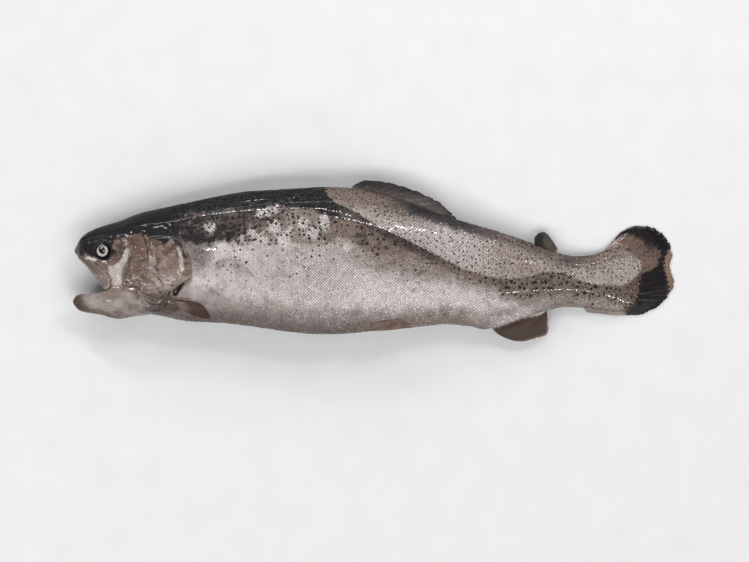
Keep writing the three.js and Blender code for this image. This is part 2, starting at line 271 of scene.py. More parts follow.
# the markings, with painted shade towards the belly, shared by the skin, the scales and the fins' roots
markings = {
    "pale": (0.315, 0.28, 0.266), "paler": (0.475, 0.442, 0.43), "grey": (0.13, 0.112, 0.105),
    # the belly colour is painted shade where the body turns under; the belly rim's colour is brown of its
    # own, darkened with painted shade
    "belly": (0.084, 0.067, 0.058), "bellyRim": (0.075, 0.048, 0.036), "brown": (0.146, 0.108, 0.089),
    "darkBrown": (0.032, 0.022, 0.02), "tan": (0.215, 0.168, 0.142), "black": (0.0045, 0.0042, 0.0058),
    "cap": (0.01, 0.0092, 0.0105), "bleached": (0.315, 0.275, 0.259), "lavender": (0.215, 0.178, 0.164),
    "rim": (0.016, 0.015, 0.017), "rust": (0.125, 0.08, 0.06), "dot": (0.0085, 0.0075, 0.0085),
    "smallDot": (0.024, 0.02, 0.019), "vent": (0.15, 0.108, 0.087),
    # the bleached upper side of the rear half ends along this line
    "bleachLine": [(-10, 69), (144, 69), (149, 52), (152, 41), (157, 35.6), (164, 32.4), (172, 28),
                   (185, 20.2), (198, 14), (212, 6.8), (229, -1.8), (244, -7.4), (262, -10.2), (272, -9.4),
                   (282, -6.4), (292, -6.3), (300, -9.8), (312, -13), (328, -14.2), (336, -11), (345, -4),
                   (380, 0)],
    # how far the brown band reaches under that line
    "bandDepth": [(-10, 0), (148, 9), (160, 18), (172, 19), (185, 14), (198, 8.5), (212, 6), (230, 4),
                  (246, 4), (258, 10), (272, 12), (286, 13), (300, 10), (320, 9), (334, 17), (345, 24),
                  (380, 24)],
    "blackLimit": [(-10, 31), (40, 31), (61, 28.6), (76, 29.6), (91, 30.8), (111, 31.6), (125, 32.8),
                   (141, 31.2), (150, 28), (158, 26), (170, 24), (180, 30), (380, 60)],
    "mottleLimit": [(-10, 12), (61, 13), (71, 11.6), (81, 11.6), (91, 12.2), (101, 10.4), (108, 11),
                    (116, 12.5), (131, 11.5), (141, 9.5), (150, 11), (160, 15), (170, 22), (380, 60)],
    "topLine": [(-10, 12), (60, 34), (118, 44), (150, 45.4), (166, 45), (184, 41.3), (202, 35), (220, 29),
                (244, 22), (268, 14.6), (286, 7.6), (301, 3.8), (310, 4.2), (322, 7.8), (332, 10.4),
                (344, 12), (380, 14)],
    "bottomLine": [(-10, -34), (62, -35), (88, -36.8), (124, -41.5), (148, -43.8), (184, -41.2),
                   (220, -37.9), (247, -41), (270, -34), (296, -27.2), (322, -30), (344, -31), (380, -31)],
    # the brightest part of the flank lies between these two
    "brightTop": [(-10, 0), (60, -2), (76, 0), (92, 8), (120, 11), (150, 7), (168, -2), (190, -8),
                  (215, -12), (235, -16), (262, -24), (300, -40), (380, -40)],
    "brightLow": [(-10, -18), (60, -17), (100, -24), (150, -28), (200, -30), (235, -30), (380, -30)],
    # greyer patches of dark-edged scales, and bleached patches high on the front half: x, y, radius
    "greys": [(73, 9, 4.5), (78, 4, 6), (75, -3, 3.5), (91, 1.4, 4), (99, -2, 3.4), (104, -5, 2.4),
              (223, -31, 4), (215, -32, 3), (232, -30, 3)],
    "patches": [(83.2, 20.4, 3), (81.4, 22.2, 1.4), (112.6, 29.4, 2.2), (116.4, 30.2, 2.9),
                (120.8, 31.4, 2.4), (101.6, 13.4, 2.2), (107.4, 17.6, 2.2), (112.4, 13.6, 3.6),
                (121, 20.6, 3.9), (138, 22.2, 3), (149.6, 24.4, 3.2), (151, 20.6, 2.2), (89.6, 6, 4.3),
                (98, 6.6, 2.8), (104, 3.2, 2.6), (129, 18, 2.6), (127, 12.5, 4), (143, 17, 3.4),
                (164, 9, 2.6)],
    # black blots at the lower border of the mottled shoulder
    "blots": [(68.4, 14.2, 2.4), (72.6, 15, 2.8), (77.2, 13.4, 2.8), (82, 12, 2.2), (70.4, 19.6, 1.6),
              (88.6, 14.2, 1.5), (94.4, 15.4, 1.3), (97, 21, 1.4)],
}


def flankColour(p, q, grain):  # p: where a patch of colour is looked up, q: the exact place, for the dots
    m = markings
    x, y, _ = p.parts()
    flat = p.mapped(Scale=(1, 1, 0))
    lump, wide, jag = p.cloud(6.5, 2, 4), p.cloud(20, 3), p.cloud(2.2, 4, 2)
    hair = q.mapped(Scale=(1, 2.2, 1)).cloud(1.1, 8)
    brush = p.mapped(Rotation=(0, 0, 0.22), Scale=(0.2, 1, 1)).cloud(1.7, 17)
    bottom, top, bleachLine, brightTop, brightLow, bandDepth, mottleLimit, blackLimit = [
        along(x, m[name]) for name in ("bottomLine", "topLine", "bleachLine", "brightTop", "brightLow",
                                       "bandDepth", "mottleLimit", "blackLimit")]
    below = bleachLine - y
    rear, front, tailward = x.rise(146, 158), x.fall(156, 168), x.rise(240, 262)

    def patches(places, ragged, low, high):
        return [(flat.away(px, py) + ragged).fall(radius + low, radius + high) for px, py, radius in places]

    # the pale side: greyer behind the gill cover, darker towards the belly with painted shade, paler over the
    # anal fin
    bright = (y + lump * 2.6).past(brightLow, -2, 5) * (y + lump * 3.4).short(brightTop, -4, 4)
    shoulder = (x + lump * 5 + y * 0.4).fall(74, 90) * (y + lump * 2.4).rise(-6, 2)
    greys = patches(m["greys"], jag * 1.2 + lump * 1.6 - grain * 1.2 - hair * 0.8, -4, 3)
    under = (y + lump * 2).fall(bottom + 1, bottom + 22 - x.rise(130, 190) * 5)
    vent = x.window(166, 182, 238, 254) * (y + jag * 0.8 + lump * 1.2).short(bottom, 2.5, 8.5)
    colour = painted(m["pale"], m, [
        ("grey", (0.12 - lump * 0.25 - grain * 0.32 - wide * 0.2 - hair * 0.15).rise(0.1, 0.95) * 0.8),
        ("paler", bright * (0.4 - x.rise(98, 125) * 0.16 + x.rise(146, 176) * 0.4 + grain * 0.2 + lump * 0.2
                            + hair * 0.08)),
        ("grey", (shoulder * (0.95 - grain * 0.8 - hair * 0.5 + lump * 0.2)).rise(0, 0.9) * 0.92),
        *[("grey", near * (0.72 - grain * 0.4)) for near in greys],
        # a grey patch beside the pectoral fin's edge: painted shadow of the fin
        ("grey", (x + lump * 2).fall(77, 84) * (y + lump).window(-25, -19, -16, -10) * 0.35),
        ("grey", (wide * 0.9 + lump * 0.5 - 0.75).rise(0, 0.6) * x.rise(84, 96) * (0.5 - grain * 0.2)),
        # painted shade towards the belly, and a darker rim at its edge that is partly its own brown
        ("belly", under * 0.95 * (1 - x.rise(170, 205) * 0.55)),
        ("bellyRim", (y + jag * 0.8 + lump).short(bottom, 0.8, 4.6) * 0.9 * (1 - x.rise(165, 195) * 0.6)),
        ("vent", vent * (0.8 - grain * 0.15)),
        ("paler", x.window(246, 257, 282, 292) * (y + lump).short(bottom, 3, 10) * (0.75 + grain * 0.2))])

    # the rear half: lavender and rust above, and the brown band
    lavender = x.rise(158, 196) * (y + lump * 3).past(brightTop, -2, 8)
    worn = (0.1 - grain * 0.5 - lump * 0.3 - hair * 0.2).rise(-0.1, 0.8)
    rusty = (brush * 0.9 + lump * 0.4 - 0.1).rise(0, 0.6) * (below + lump * 3).fall(24, 34)
    band = (below + jag * 1.5 + lump * 2.4 + brush * 3).short(bandDepth, -2.5, 3.5) * rear
    brown = blend(m["brown"], m["darkBrown"],
                  (lump * 0.35 + jag * 0.25 - grain * 0.4 - hair * 0.2 + brush * 0.3).rise(-0.2, 0.75))
    close = band * (below + jag * 1.4 + brush * 1.6).fall(2, 8) * x.fall(206, 236)
    # the mottled shoulder, which fades to the rear, with black blots and pale patches
    mottle = (y + lump * 2.8 + jag * 1.5 + grain * 0.8).past(mottleLimit, -1.5, 2.5) * front
    fading = (x + wide * 8 - (y - 20) * 1.4).rise(102, 124)
    fresh = fading * (1 - x.rise(132, 150) * 0.7)
    dim = blend(brown, m["darkBrown"], (1 - fading) * (0.62 - grain * 0.25 + jag * 0.2))
    lost = (lump * 0.8 + wide * 0.5 - 0.2).rise(0, 0.5) * fading * (y + lump).fall(22, 28)
    darker = (lump * 0.7 + jag * 0.5 - grain * 0.35 - hair * 0.2 + 0.36 - (x - 66) * 0.01).rise(0, 0.4)
    blots = patches(m["blots"], jag * 1.3 + lump * 1.2 - grain * 0.6, -1, 1.2)
    pale = Wire.most(*patches(m["patches"], jag * 1.1 + lump * 0.9 - grain * 0.5, -1.4, 1.6))
    # the black back and nape
    black = (y + jag * 0.8 + lump * 0.9 - grain * 0.4).past(blackLimit, -0.7, 1.3) * front
    nape = (x + jag * 0.8 + lump * 1.2 + grain * 0.6).fall(62.4, 65.6) * (y + jag).rise(8, 12)
    crowded = q.dots(3.2, 0.74, (mottle * (1 - fading * 0.3) * 0.88).most(band * (1 - tailward) * 0.66), 1)
    packed = q.dots(3.2, 0.85, band * tailward * 0.95, 6)
    few = (y + lump * 3).rise(-15, 3) * (0.34 + lump * 0.25) * (1 - below.rise(20, 40) * rear) \
        + flat.away(96, -2).fall(7, 22) * 0.4
    colour = painted(colour, m, [
        (blend(m["lavender"], m["brown"], worn * 0.75), lavender * (0.92 - x.rise(250, 290) * 0.2)),
        ("rust", rusty * x.window(156, 166, 204, 226) * 0.75),
        (brown, band * 0.92),
        ("darkBrown", close * (0.88 - grain * 0.25 + lump * 0.2)),
        (blend(dim, m["tan"], fresh * (0.6 + grain * 0.3)), mottle * (1 - fresh * 0.3)),
        ("pale", lost * mottle * 0.7),
        ("cap", darker * mottle * (1 - fading) * 0.85),
        *[("cap", near * 0.92) for near in blots],
        ("paler", pale * (0.72 + grain * 0.25)),
        ("black", black.most(nape) * 0.97 * (1 - pale * 0.85)),
        ("dot", crowded.most(q.dots(4.4, 0.54, few, 2), packed) * 0.95)])

    # the bleached upper side of the rear half
    above = (y + jag * 0.3 - bleachLine).rise(-0.3, 0.5) * x.rise(143, 146)
    edge = (y + jag * 1.1 - grain * 1.2 + lump * 0.8).past(top, -9.6, -4.4) * x.rise(184, 206)
    bleached = painted(m["bleached"], m, [
        ("pale", (lump * 0.4 + grain * 0.4 + hair * 0.25 + 0.04).rise(-0.2, 0.9)),
        # a paler band just above the bleach line: painted sheen
        ("paler", x.window(176, 196, 240, 262) * (y + lump).past(bleachLine, 0, 8) * (0.3 + grain * 0.3)),
        ("brown", x.fall(188, 226) * (y + lump * 1.8 + grain).past(top, -17, -7) * 0.95),
        ("rim", edge * 0.95),
        ("tan", x.rise(300, 318) * (y + lump * 1.4).short(top, -4.5, -7.5) * 0.7),
        ("tan", x.rise(232, 262) * (0.55 - x.rise(285, 310) * 0.3 + lump * 0.3 - grain * 0.3)),
        ("smallDot", q.dots(2.6, 0.46, 0.8, 3) * 0.95)])
    net = shoulder.most(lavender * 0.6, mottle * 0.5) * (1 - above)  # where the scales' rims are darker
    wet = 1 - y.past(top, -8, -2) * 0.8
    return blend(colour, bleached, above), net, wet


tailPaint = {
    "brown": (0.098, 0.066, 0.052), "black": (0.004, 0.0038, 0.0052), "fringe": (0.15, 0.098, 0.072),
    "base": (0.275, 0.222, 0.198), "dusk": (0.05, 0.044, 0.046),
    "paleEnd": [(-60, 318), (-30, 322), (-24, 326), (-14, 331), (-10, 337), (-7, 341.6), (-2, 342),
                (2, 340), (8, 335), (13, 327), (18, 322), (60, 310)],
    "blackFrom": [(-60, 331), (-31, 333), (-27, 337), (-20, 339.6), (-12, 341.4), (-8, 341.8), (-6, 345),
                  (-4, 349), (-1, 352.5), (4, 353.5), (8, 352), (13, 350), (18, 346), (22, 343), (60, 340)],
    "blackTo": [(-60, 350), (-26, 355), (-21, 358.6), (-14, 359.4), (-8, 357.2), (-4, 356.4), (2, 356.8),
                (6, 358.4), (9, 362), (14, 366), (60, 372)],
}


def tailColour(p, wave):  # the tail fin's brown and black, which the skin takes over before its end
    look = tailPaint
    x, y, _ = p.parts()
    lump, fine = p.cloud(5, 41, 4), p.cloud(1.1, 42)
    dusk = (x + lump * 2 - y * 0.1 - wave * 0.4).rise(340, 351) * (y + lump).rise(3, 11)
    black = (x + lump * 1.2 + fine * 0.8 + wave * 0.5 - along(y, look["blackFrom"])).rise(-1.4, 1.2)
    colour = painted(look["brown"], look, [
        (markings["darkBrown"], (lump * 0.4 + fine * 0.35 - wave * 0.2).rise(0, 1.1) * 0.7),
        (markings["dot"], p.dots(2.6, 0.42, 0.8, 5) * 0.75),
        ("base", (y + lump).fall(-24, -19) * (x + lump * 1.5 + fine).fall(328, 336) * 0.85),
        ("dusk", dusk * 0.8),
        ("black", black * 0.97)])
    reach = (x + lump * 0.8 + fine * 0.5 - along(y, look["paleEnd"])).rise(-0.7, 0.9)
    return colour, reach, lump, fine


# the head's parts, as outlines and paths in mm
gillRear = [(59.6, 18.6), (63.4, 16), (66.3, 13.2), (69.2, 6.2), (71.4, 0.8), (72, -5.6), (70.8, -10),
            (66.2, -13.2), (61.6, -16.4), (58.6, -19), (57.6, -22.4), (54.6, -26.6), (52.6, -32)]
scaleFront = [(57, 60), (59, 34), (61.6, 24), (63, 18.6), (66.8, 14.4), (69.8, 7), (72.2, 1), (73, -5.6),
              (73.2, -12), (74, -18), (74, -23.4), (70, -28), (64, -32.4), (60, -36), (58, -50)]
headAreas = {
    "cap": [(4.6, 20), (5, 13.4), (5.7, 10), (6.6, 7), (9.6, 4), (13, 2.5), (16.4, 1.4), (20.8, 0.8),
            (23, 2.4), (26.4, 6.4), (24.9, 7.8), (23.8, 9.6), (24.2, 12.1), (28.6, 14), (32.4, 15.3),
            (38, 16.5), (41.4, 16.7), (45, 15.3), (47.5, 13.4), (51.3, 13.4), (53.8, 11.6), (56.6, 11),
            (59, 13.4), (61, 12), (62.6, 12), (64, 16), (63.4, 22), (62, 30), (60, 60), (4.6, 60)],
    "membrane": [(21.9, -2.6), (25.4, -1.8), (29.4, 1.2), (32.4, 7.6), (34.6, 7), (33.4, 2.2),
                 (31.2, -3.4), (29.6, -8), (29.2, -13.4), (25.6, -14.4), (23.6, -10.6), (22, -5.6)],
    "maxilla": [(3, 2.4), (6.2, 3.9), (9.8, 1.7), (14.7, -2.2), (19.1, -5.4), (22, -8.1), (23.2, -11.3),
                (22.2, -15.2), (19.9, -16.6), (16.8, -15.4), (13.4, -10), (10.9, -5.6), (6.6, -0.7)],
    "gape": [(67.4, -12.4), (64.4, -14.4), (61.6, -16.6), (60.9, -19.8), (62.4, -20.2), (64.2, -17.6),
             (66.2, -14.8)],
    # the pale patch on the gill cover, partly painted glints
    "shine": [(64.2, 4), (66.6, -2), (67.6, -8), (63.6, -11.2), (57.4, -13), (55.4, -11), (60.6, -8.6),
              (63.2, -4.6)],
    "breast": [(65, -14.4), (70, -12), (73.4, -11.4), (74.4, -18), (73, -23.6), (64.6, -22.8), (62.6, -21)],
}
# (path, half width, depth, how much painted shade darkens it): creases; a ridge has a negative depth
headCreases = [
    ([(9.6, 1.6), (14.7, -2.3), (19.1, -5.5), (22.1, -8.1), (23.3, -11.3)], 0.42, 0.55, 0.65),
    ([(23.3, -11.3), (22.6, -15), (20.2, -16.9), (17.4, -15.8)], 0.4, 0.55, 0.95),
    ([(10.6, -0.6), (14.6, -4), (18.4, -7), (21, -10.4)], 0.3, 0.2, 0.5),
    ([(12, -1.8), (15.6, -5), (18.4, -8.6), (20.8, -13.6)], 0.4, 0.3, 0.55),
    ([(42.3, 17), (44.2, 12), (45.3, 5.8), (45.7, 2)], 0.5, 0.7, 1),
    ([(45.7, 2), (43.8, -2.4), (40.6, -4.9), (37.4, -5.7), (34.9, -6.9)], 0.36, 0.5, 0.6),
    ([(45, -4.2), (49.4, -7.4), (52.9, -10.5), (55, -13.8)], 0.4, 0.5, 0.75),
    ([(52.8, -9.2), (56.9, -8.5), (60.9, -5.8), (63.9, -2.4)], 0.34, 0.4, 0.6),
    ([(64, 9), (65, 3), (66.6, -3), (67.2, -8.6)], 0.5, 0.3, 0.2),
    ([(46, -24.4), (50.2, -25.9), (54.2, -24.6), (57.3, -21.1), (58.4, -17.9)], 0.45, 0.7, 0.95),
    ([(44.6, -21.6), (49, -23.8), (52.8, -22.8), (56, -19.2)], 0.34, 0.35, 0.6),
    ([(43.4, -19.2), (47.8, -21.4), (51.6, -20.2), (54.4, -17.4)], 0.3, 0.28, 0.45),
    ([(41.2, -26.8), (47, -28.9), (52.2, -28), (57.2, -25)], 0.4, 0.5, 0.7),
    ([(39.6, -29.4), (46, -31), (52, -30.2)], 0.35, 0.35, 0.5),
    ([(38.2, -14.8), (41.4, -18.2), (43.2, -23)], 0.5, 0.3, 0.3),
    ([(47, -12), (50.6, -15), (52.8, -18.6)], 0.4, 0.3, 0.4),
    ([(19.4, -16.4), (22.2, -19.2), (24.6, -21.2)], 0.6, 0.3, 0.25),
    ([(3.6, -26), (12, -28), (22, -30.6), (30, -31.8)], 0.8, 0.3, 0.15),
    ([(31, -9), (32.6, -4.6), (35.4, 1.8), (36.4, 8)], 0.6, 0.25, 0.12),
    ([(29.8, -14), (31, -9.6), (31.8, -6.6)], 0.5, 0.35, 0.45),
    ([(34, -9), (37.6, -12.2), (41.8, -13.6)], 0.5, 0.3, 0.35),
    ([(33, -6.4), (36, -9.4), (37.4, -12.6)], 0.4, 0.4, 0.5),
    ([(38.6, -9), (41.6, -11.6), (45.4, -13)], 0.35, 0.35, 0.4),
    ([(38, -15.6), (41.8, -16.8), (45.6, -16.6)], 0.35, 0.4, 0.3),
    ([(36.6, -13), (40.6, -14.6), (44, -14.8)], 0.3, 0.3, 0.2),
    ([(24.8, 3.2), (28.4, 4.6), (31.4, 8.4)], 0.45, 0.2, 0.2),
    ([(56.8, 5.4), (59.4, 1.4), (60.8, -3.6)], 0.6, 0.12, 0.1),
    ([(4.4, 11.4), (6.8, 6.8), (9.4, 3.4)], 0.5, 0.25, 0.35),
    ([(11.6, 13.6), (15, 14.9), (19.6, 15.3), (22.6, 14.6)], 0.8, -0.35, 0),
    ([(17, 11.9), (20, 12.1), (22.8, 11.2)], 0.4, -0.22, 0),
    ([(60.4, 19), (58.8, 24), (57.4, 31)], 0.8, 0.06, 0),
    ([(32.8, -12.6), (34.4, -13.8), (36.2, -13.4)], 0.7, -0.2, 0),
    ([(38, -12.4), (40.4, -12), (42.8, -13.2)], 0.7, -0.2, 0),
    ([(38.2, -14.9), (41, -14.3), (43.8, -15.6)], 0.7, -0.2, 0),
    ([(38.4, -17.6), (41.4, -17), (44.4, -18.2)], 0.7, -0.2, 0),
    ([(35, -8.6), (37.2, -7.2), (39.8, -7.6)], 0.6, -0.18, 0),
    ([(43, 12.6), (43.8, 9.6), (44.2, 6.4)], 0.45, -0.3, 0),
    ([(49, -8.4), (51.4, -8.8), (52.4, -10.6)], 0.5, -0.3, 0),
]
# (path, half width, how much): pale ridges and rims, partly painted glints where the wet snout rim, cheek and
# gill cover catch the light; and brown margins
headPaleLinesAndGlints = [
    ([(7.2, 16.4), (3.6, 13.6), (1.2, 10.2), (0.3, 7), (0.9, 4.4), (3.4, 1.8), (7.2, -1.2),
      (11.4, -6.4)], 0.42, 0.7),
    ([(8.7, 2.5), (11.2, 2), (13.6, 1.6)], 1.15, 1),
    ([(13, 2), (17.8, 0.9), (21.4, -1.4)], 0.5, 0.55),
    ([(66.8, 13.6), (69.7, 6.4), (71.9, 0.9), (72.5, -5.8)], 0.4, 0.75),
    ([(19.4, -15.6), (17, -12.8), (14, -8.4)], 1.5, 0.35),
    ([(21.8, -15.6), (21.8, -12)], 0.9, 0.45),
    ([(46.6, 3.4), (49.4, 1.4), (50.2, -2.6)], 1.6, 0.35),
    ([(36.6, -10), (39.4, -9.4), (42, -11)], 0.9, 0.4),
    ([(35.4, -3.2), (38.6, 1.8), (41.6, 2.4)], 1.6, 0.3),
    ([(64.4, 8), (65.8, 2), (66.2, -5)], 1.5, 0.55),
]
headBrowns = [
    ([(67.9, 2.9), (69.5, -1), (70.2, -5.5), (69.4, -9.6)], 1, 0.5),
    ([(70.4, -10.2), (66, -12.2), (61.5, -15), (56.9, -17), (52.9, -17.6)], 0.9, 0.85),
    ([(31.6, -7.6), (32.4, -11), (35, -13.4), (38.6, -17)], 1.8, 0.7),
    ([(36.4, 14), (38.6, 10.4), (40.6, 6.4)], 2.6, 0.5),
    ([(25.6, 2), (28, 0.2)], 1.2, 0.45),
    ([(41.6, -9.4), (45.6, -11.4), (49.4, -12.4)], 1.7, 0.55),
    ([(43, -26.4), (50, -29.2), (57, -26.6)], 1.6, 0.5),
    ([(74, -13), (73.6, -20)], 0.9, 0.6),
    ([(0.6, -21), (1.6, -24), (4, -26.6)], 2.6, 0.7),
    ([(14, -30.8), (24, -33.6), (31, -34.6)], 1.2, 0.45),
    ([(33, -4.6), (34.6, -9.6), (36.6, -14.6), (40, -20)], 3, 0.75),
    ([(44.6, -20), (50.6, -21.8), (55, -19.6)], 2.4, 0.6),
    ([(36, 6), (38.6, 0.6), (42.6, -1.6)], 2.2, 0.4),
    ([(2, -25.6), (8, -28.4), (16, -31), (24, -33.2)], 2.2, 0.5),
]
# dark lines along the preopercle crease and the gill cover's rear edge: painted shade, partly the skin's own
# dark lines
headShadeLines = [
    ([(60.6, 15.6), (63.6, 12.4), (66.2, 7), (68, 3)], 1.45, 1),
    ([(42, 17.4), (43.6, 14), (44.6, 10)], 0.8, 0.9),
]
headLook = {
    "cheek": (0.112, 0.081, 0.067), "cheekDark": (0.05, 0.032, 0.025), "membrane": (0.335, 0.307, 0.294),
    # the pale shine colour is partly painted glints on the cheek and gill cover
    "plate": (0.178, 0.139, 0.121), "shine": (0.40, 0.365, 0.35), "jaw": (0.158, 0.128, 0.114),
    "jawPale": (0.235, 0.206, 0.193),
    "jawTip": (0.052, 0.031, 0.024), "throat": (0.048, 0.032, 0.026), "maxilla": (0.095, 0.065, 0.053),
    "maxillaEnd": (0.17, 0.135, 0.119), "socket": (0.0095, 0.009, 0.0105), "mouth": (0.42, 0.31, 0.28),
    # the dark ink colour serves dark flecks and the painted shade in the creases
    # the near-black gap colour is painted shade in the gill opening's hollow and deep in the mouth
    "gap": (0.01, 0.0085, 0.0085), "snout": (0.013, 0.0107, 0.01), "ink": (0.018, 0.0145, 0.0135),
    # the pale light colour is partly painted glints on the snout's rim, the cheek and the gill cover
    "light": (0.44, 0.41, 0.39), "brown": (0.064, 0.04, 0.031), "rust": (0.118, 0.073, 0.054),
}


def headColour(wire, p):
    h = headLook
    x, y, _ = p.parts()
    grit, fine, lump = p.cloud(0.55, 10), p.cloud(1.3, 11, 4), p.cloud(4.5, 12, 4)
    mask = wire.attribute

    def area(name, ragged, soft):  # from a depth in mm, positive inside
        return (mask(name) + lump * ragged + fine * ragged * 0.6).rise(-soft, soft)

    vein = p.mapped(Rotation=(0, 0, 0.9), Scale=(0.45, 1, 1)).cloud(3.4, 15)
    wrinkle = vein.sum("ABSOLUTE", vein)
    low = (y + lump * 1.4 + (x - 18).most(0) * 0.14).fall(-17.5, -12)
    membrane = area("membrane", 0.4, 1.2)
    plain = low.most(membrane)  # where the skin is smooth
    jaw = painted(h["jaw"], h, [
        ("jawPale", (lump * 0.35 + p.cloud(9, 16, 2) * 0.8 + fine * 0.06).rise(-0.5, 0.7)),
        ("throat", (fine * 0.1 - lump * 0.4 - (y + 27) * 0.1).rise(-0.1, 0.8) * 0.6)])
    tip = (x + lump * 1.6 + fine * 0.8 + (y + 24) * 0.25).fall(2, 12) * y.fall(-18, -15)
    snout = (x + fine * 0.6).fall(7, 11) * (y + fine * 0.4).rise(1.6, 3.2)
    bone = blend(h["maxilla"], h["maxillaEnd"], (x + lump * 2 + fine * 1.5).rise(9, 19) * 0.85)
    streak = p.mapped(Scale=(0.35, 1, 1)).cloud(2, 13)
    capTone = blend(markings["cap"], h["snout"], (streak * 0.5 + fine * 0.3).rise(0.3, 1.1) * 0.35)
    # pale flecks over the cheek, partly painted glints
    paleFlecksAndGlints = (fine * 0.8 - lump * 0.6 + grit * 0.4 - 0.22).rise(0, 0.6)
    eyeFar = p.mapped(Scale=(1, 1, 0)).away(*eyePlace)
    colour = painted(h["cheek"], h, [
        ("plate", x.rise(43, 47)),
        ("cheekDark", (lump * 0.9 + fine * 0.4 + (y - 4) * 0.03).rise(-0.2, 0.45) * 0.9),
        ("shine", paleFlecksAndGlints * (0.44 - x.rise(44, 50) * 0.16)),
        ("rust", (p.cloud(6, 14, 2) + fine * 0.4).rise(0, 0.5) * 0.75),
        ("rust", (x + fine).fall(37, 44) * (y + lump * 1.5).fall(-5, 1) * (0.5 + lump * 0.4 + fine * 0.2)),
        ("ink", (fine * 0.6 + grit * 0.5 + lump * 0.4).rise(0.36, 0.8) * 0.6),
        (jaw, low * 0.94),
        ("throat", (x + lump).rise(38, 50) * (y + fine).fall(-19, -14) * 0.88),
        ("jawTip", tip * 0.95),
        ("snout", snout * (0.85 + fine * 0.3)),
        ("ink", snout * (fine * 0.7 + grit * 0.5).rise(0, 0.5) * 0.7),
        ("membrane", area("membrane", 0.4, 0.8) * (0.88 + fine * 0.03 + lump * 0.12)),
        # a pale patch on the gill cover, partly painted glints
        ("shine", (area("shine", 1.2, 3) * (0.5 + fine * 0.9 - lump * 0.4)).rise(0.2, 1.1) * 0.55),
        ("jaw", area("breast", 0.5, 1.6) * (0.6 + lump * 0.4)),
        (bone, area("maxilla", 0.15, 0.3) * 0.95),
        ("brown", (mask("browns") + fine * 0.16 + lump * 0.1).rise(0.1, 0.8) * 0.85),
        # pale lines and rims, partly painted glints
        ("light", (mask("lights") + fine * 0.2 + grit * 0.1).rise(0.15, 0.85) * 0.9),
        # brown along the wrinkles' grooves: the skin's fine dark lines, partly painted shade in the grooves
        ("brown", wrinkle.fall(0, 0.13) * (0.5 + lump * 0.6).rise(0, 1) * (0.5 - plain * 0.42)),
        (capTone, (mask("cap") + lump * 0.5 + fine * 0.9 + grit * 0.4).rise(-0.35, 0.35) * 0.98),
        ("socket", (eyeFar + fine * 0.4).fall(4.9, 6.4)),
        # darker along the creases and the gill cover's rear edge: painted shade, partly the skin's own dark
        # lines
        ("ink", (mask("ink") * (1 + lump * 0.6 + fine * 0.5)).rise(0.22, 1) * 0.9),
        # the gill opening's hollow: painted shade
        ("gap", area("gape", 0.15, 0.3))])
    shade = 1 + (fine * 0.2 + grit * 0.16) * (1 - plain * 0.75) + lump * 0.1
    gloss = 1 - (low * (x + lump).fall(34, 40)).most(membrane) * 0.85
    return colour.tinted(shade), wrinkle, gloss


print("markings ready")


# the skin: one surface over all the flesh
skinLook = {
    "nodes": ["head", "jaw_lower", "maxilla_left", "maxilla_right", "gill_cover_left", "gill_cover_right",
              "trunk", "tail_stock"],
    "filled": ["eye_left", "eye_right"],  # sockets are filled here and hollowed again to fit the eyes
    "fatten": 0.24, "voxel": 1.62, "coatDepth": 0.3, "coatStart": (58, 72), "floor": 0.35,
    "push": (-1, 3), "pushSoft": 9, "fineEnds": (77, 75.5), "eyeAbove": 10,
    # how many times a stretch is smoothed, and its start and end
    "smooth": [(2, -5, 40), (12, 34, 400)], "smoothFine": (3, -5, 76),
    # the skin that stretches across the corners of the mouth: place, and half sizes
    "corners": [((21.8, -17, 26), (3.4, 2.6, 1.5)), ((21.8, -17, 5.2), (3.4, 2.6, 1.5))],
    # the height of the head's middle along it, where the left side meets the right
    "middle": ([0, 20, 50, 100], [14.6, 15.6, 17.2, 19.2]),
    # the head's colours end along this line: y, x
    "headEdge": [(-60, 56), (-36, 58), (-30, 64), (-24, 72), (-18, 73.4), (-10, 72.2), (-5, 72.2), (1, 71.6),
                 (7, 69.2), (13.4, 66.4), (16, 63.6), (22, 62.6), (30, 60), (60, 56)],
}


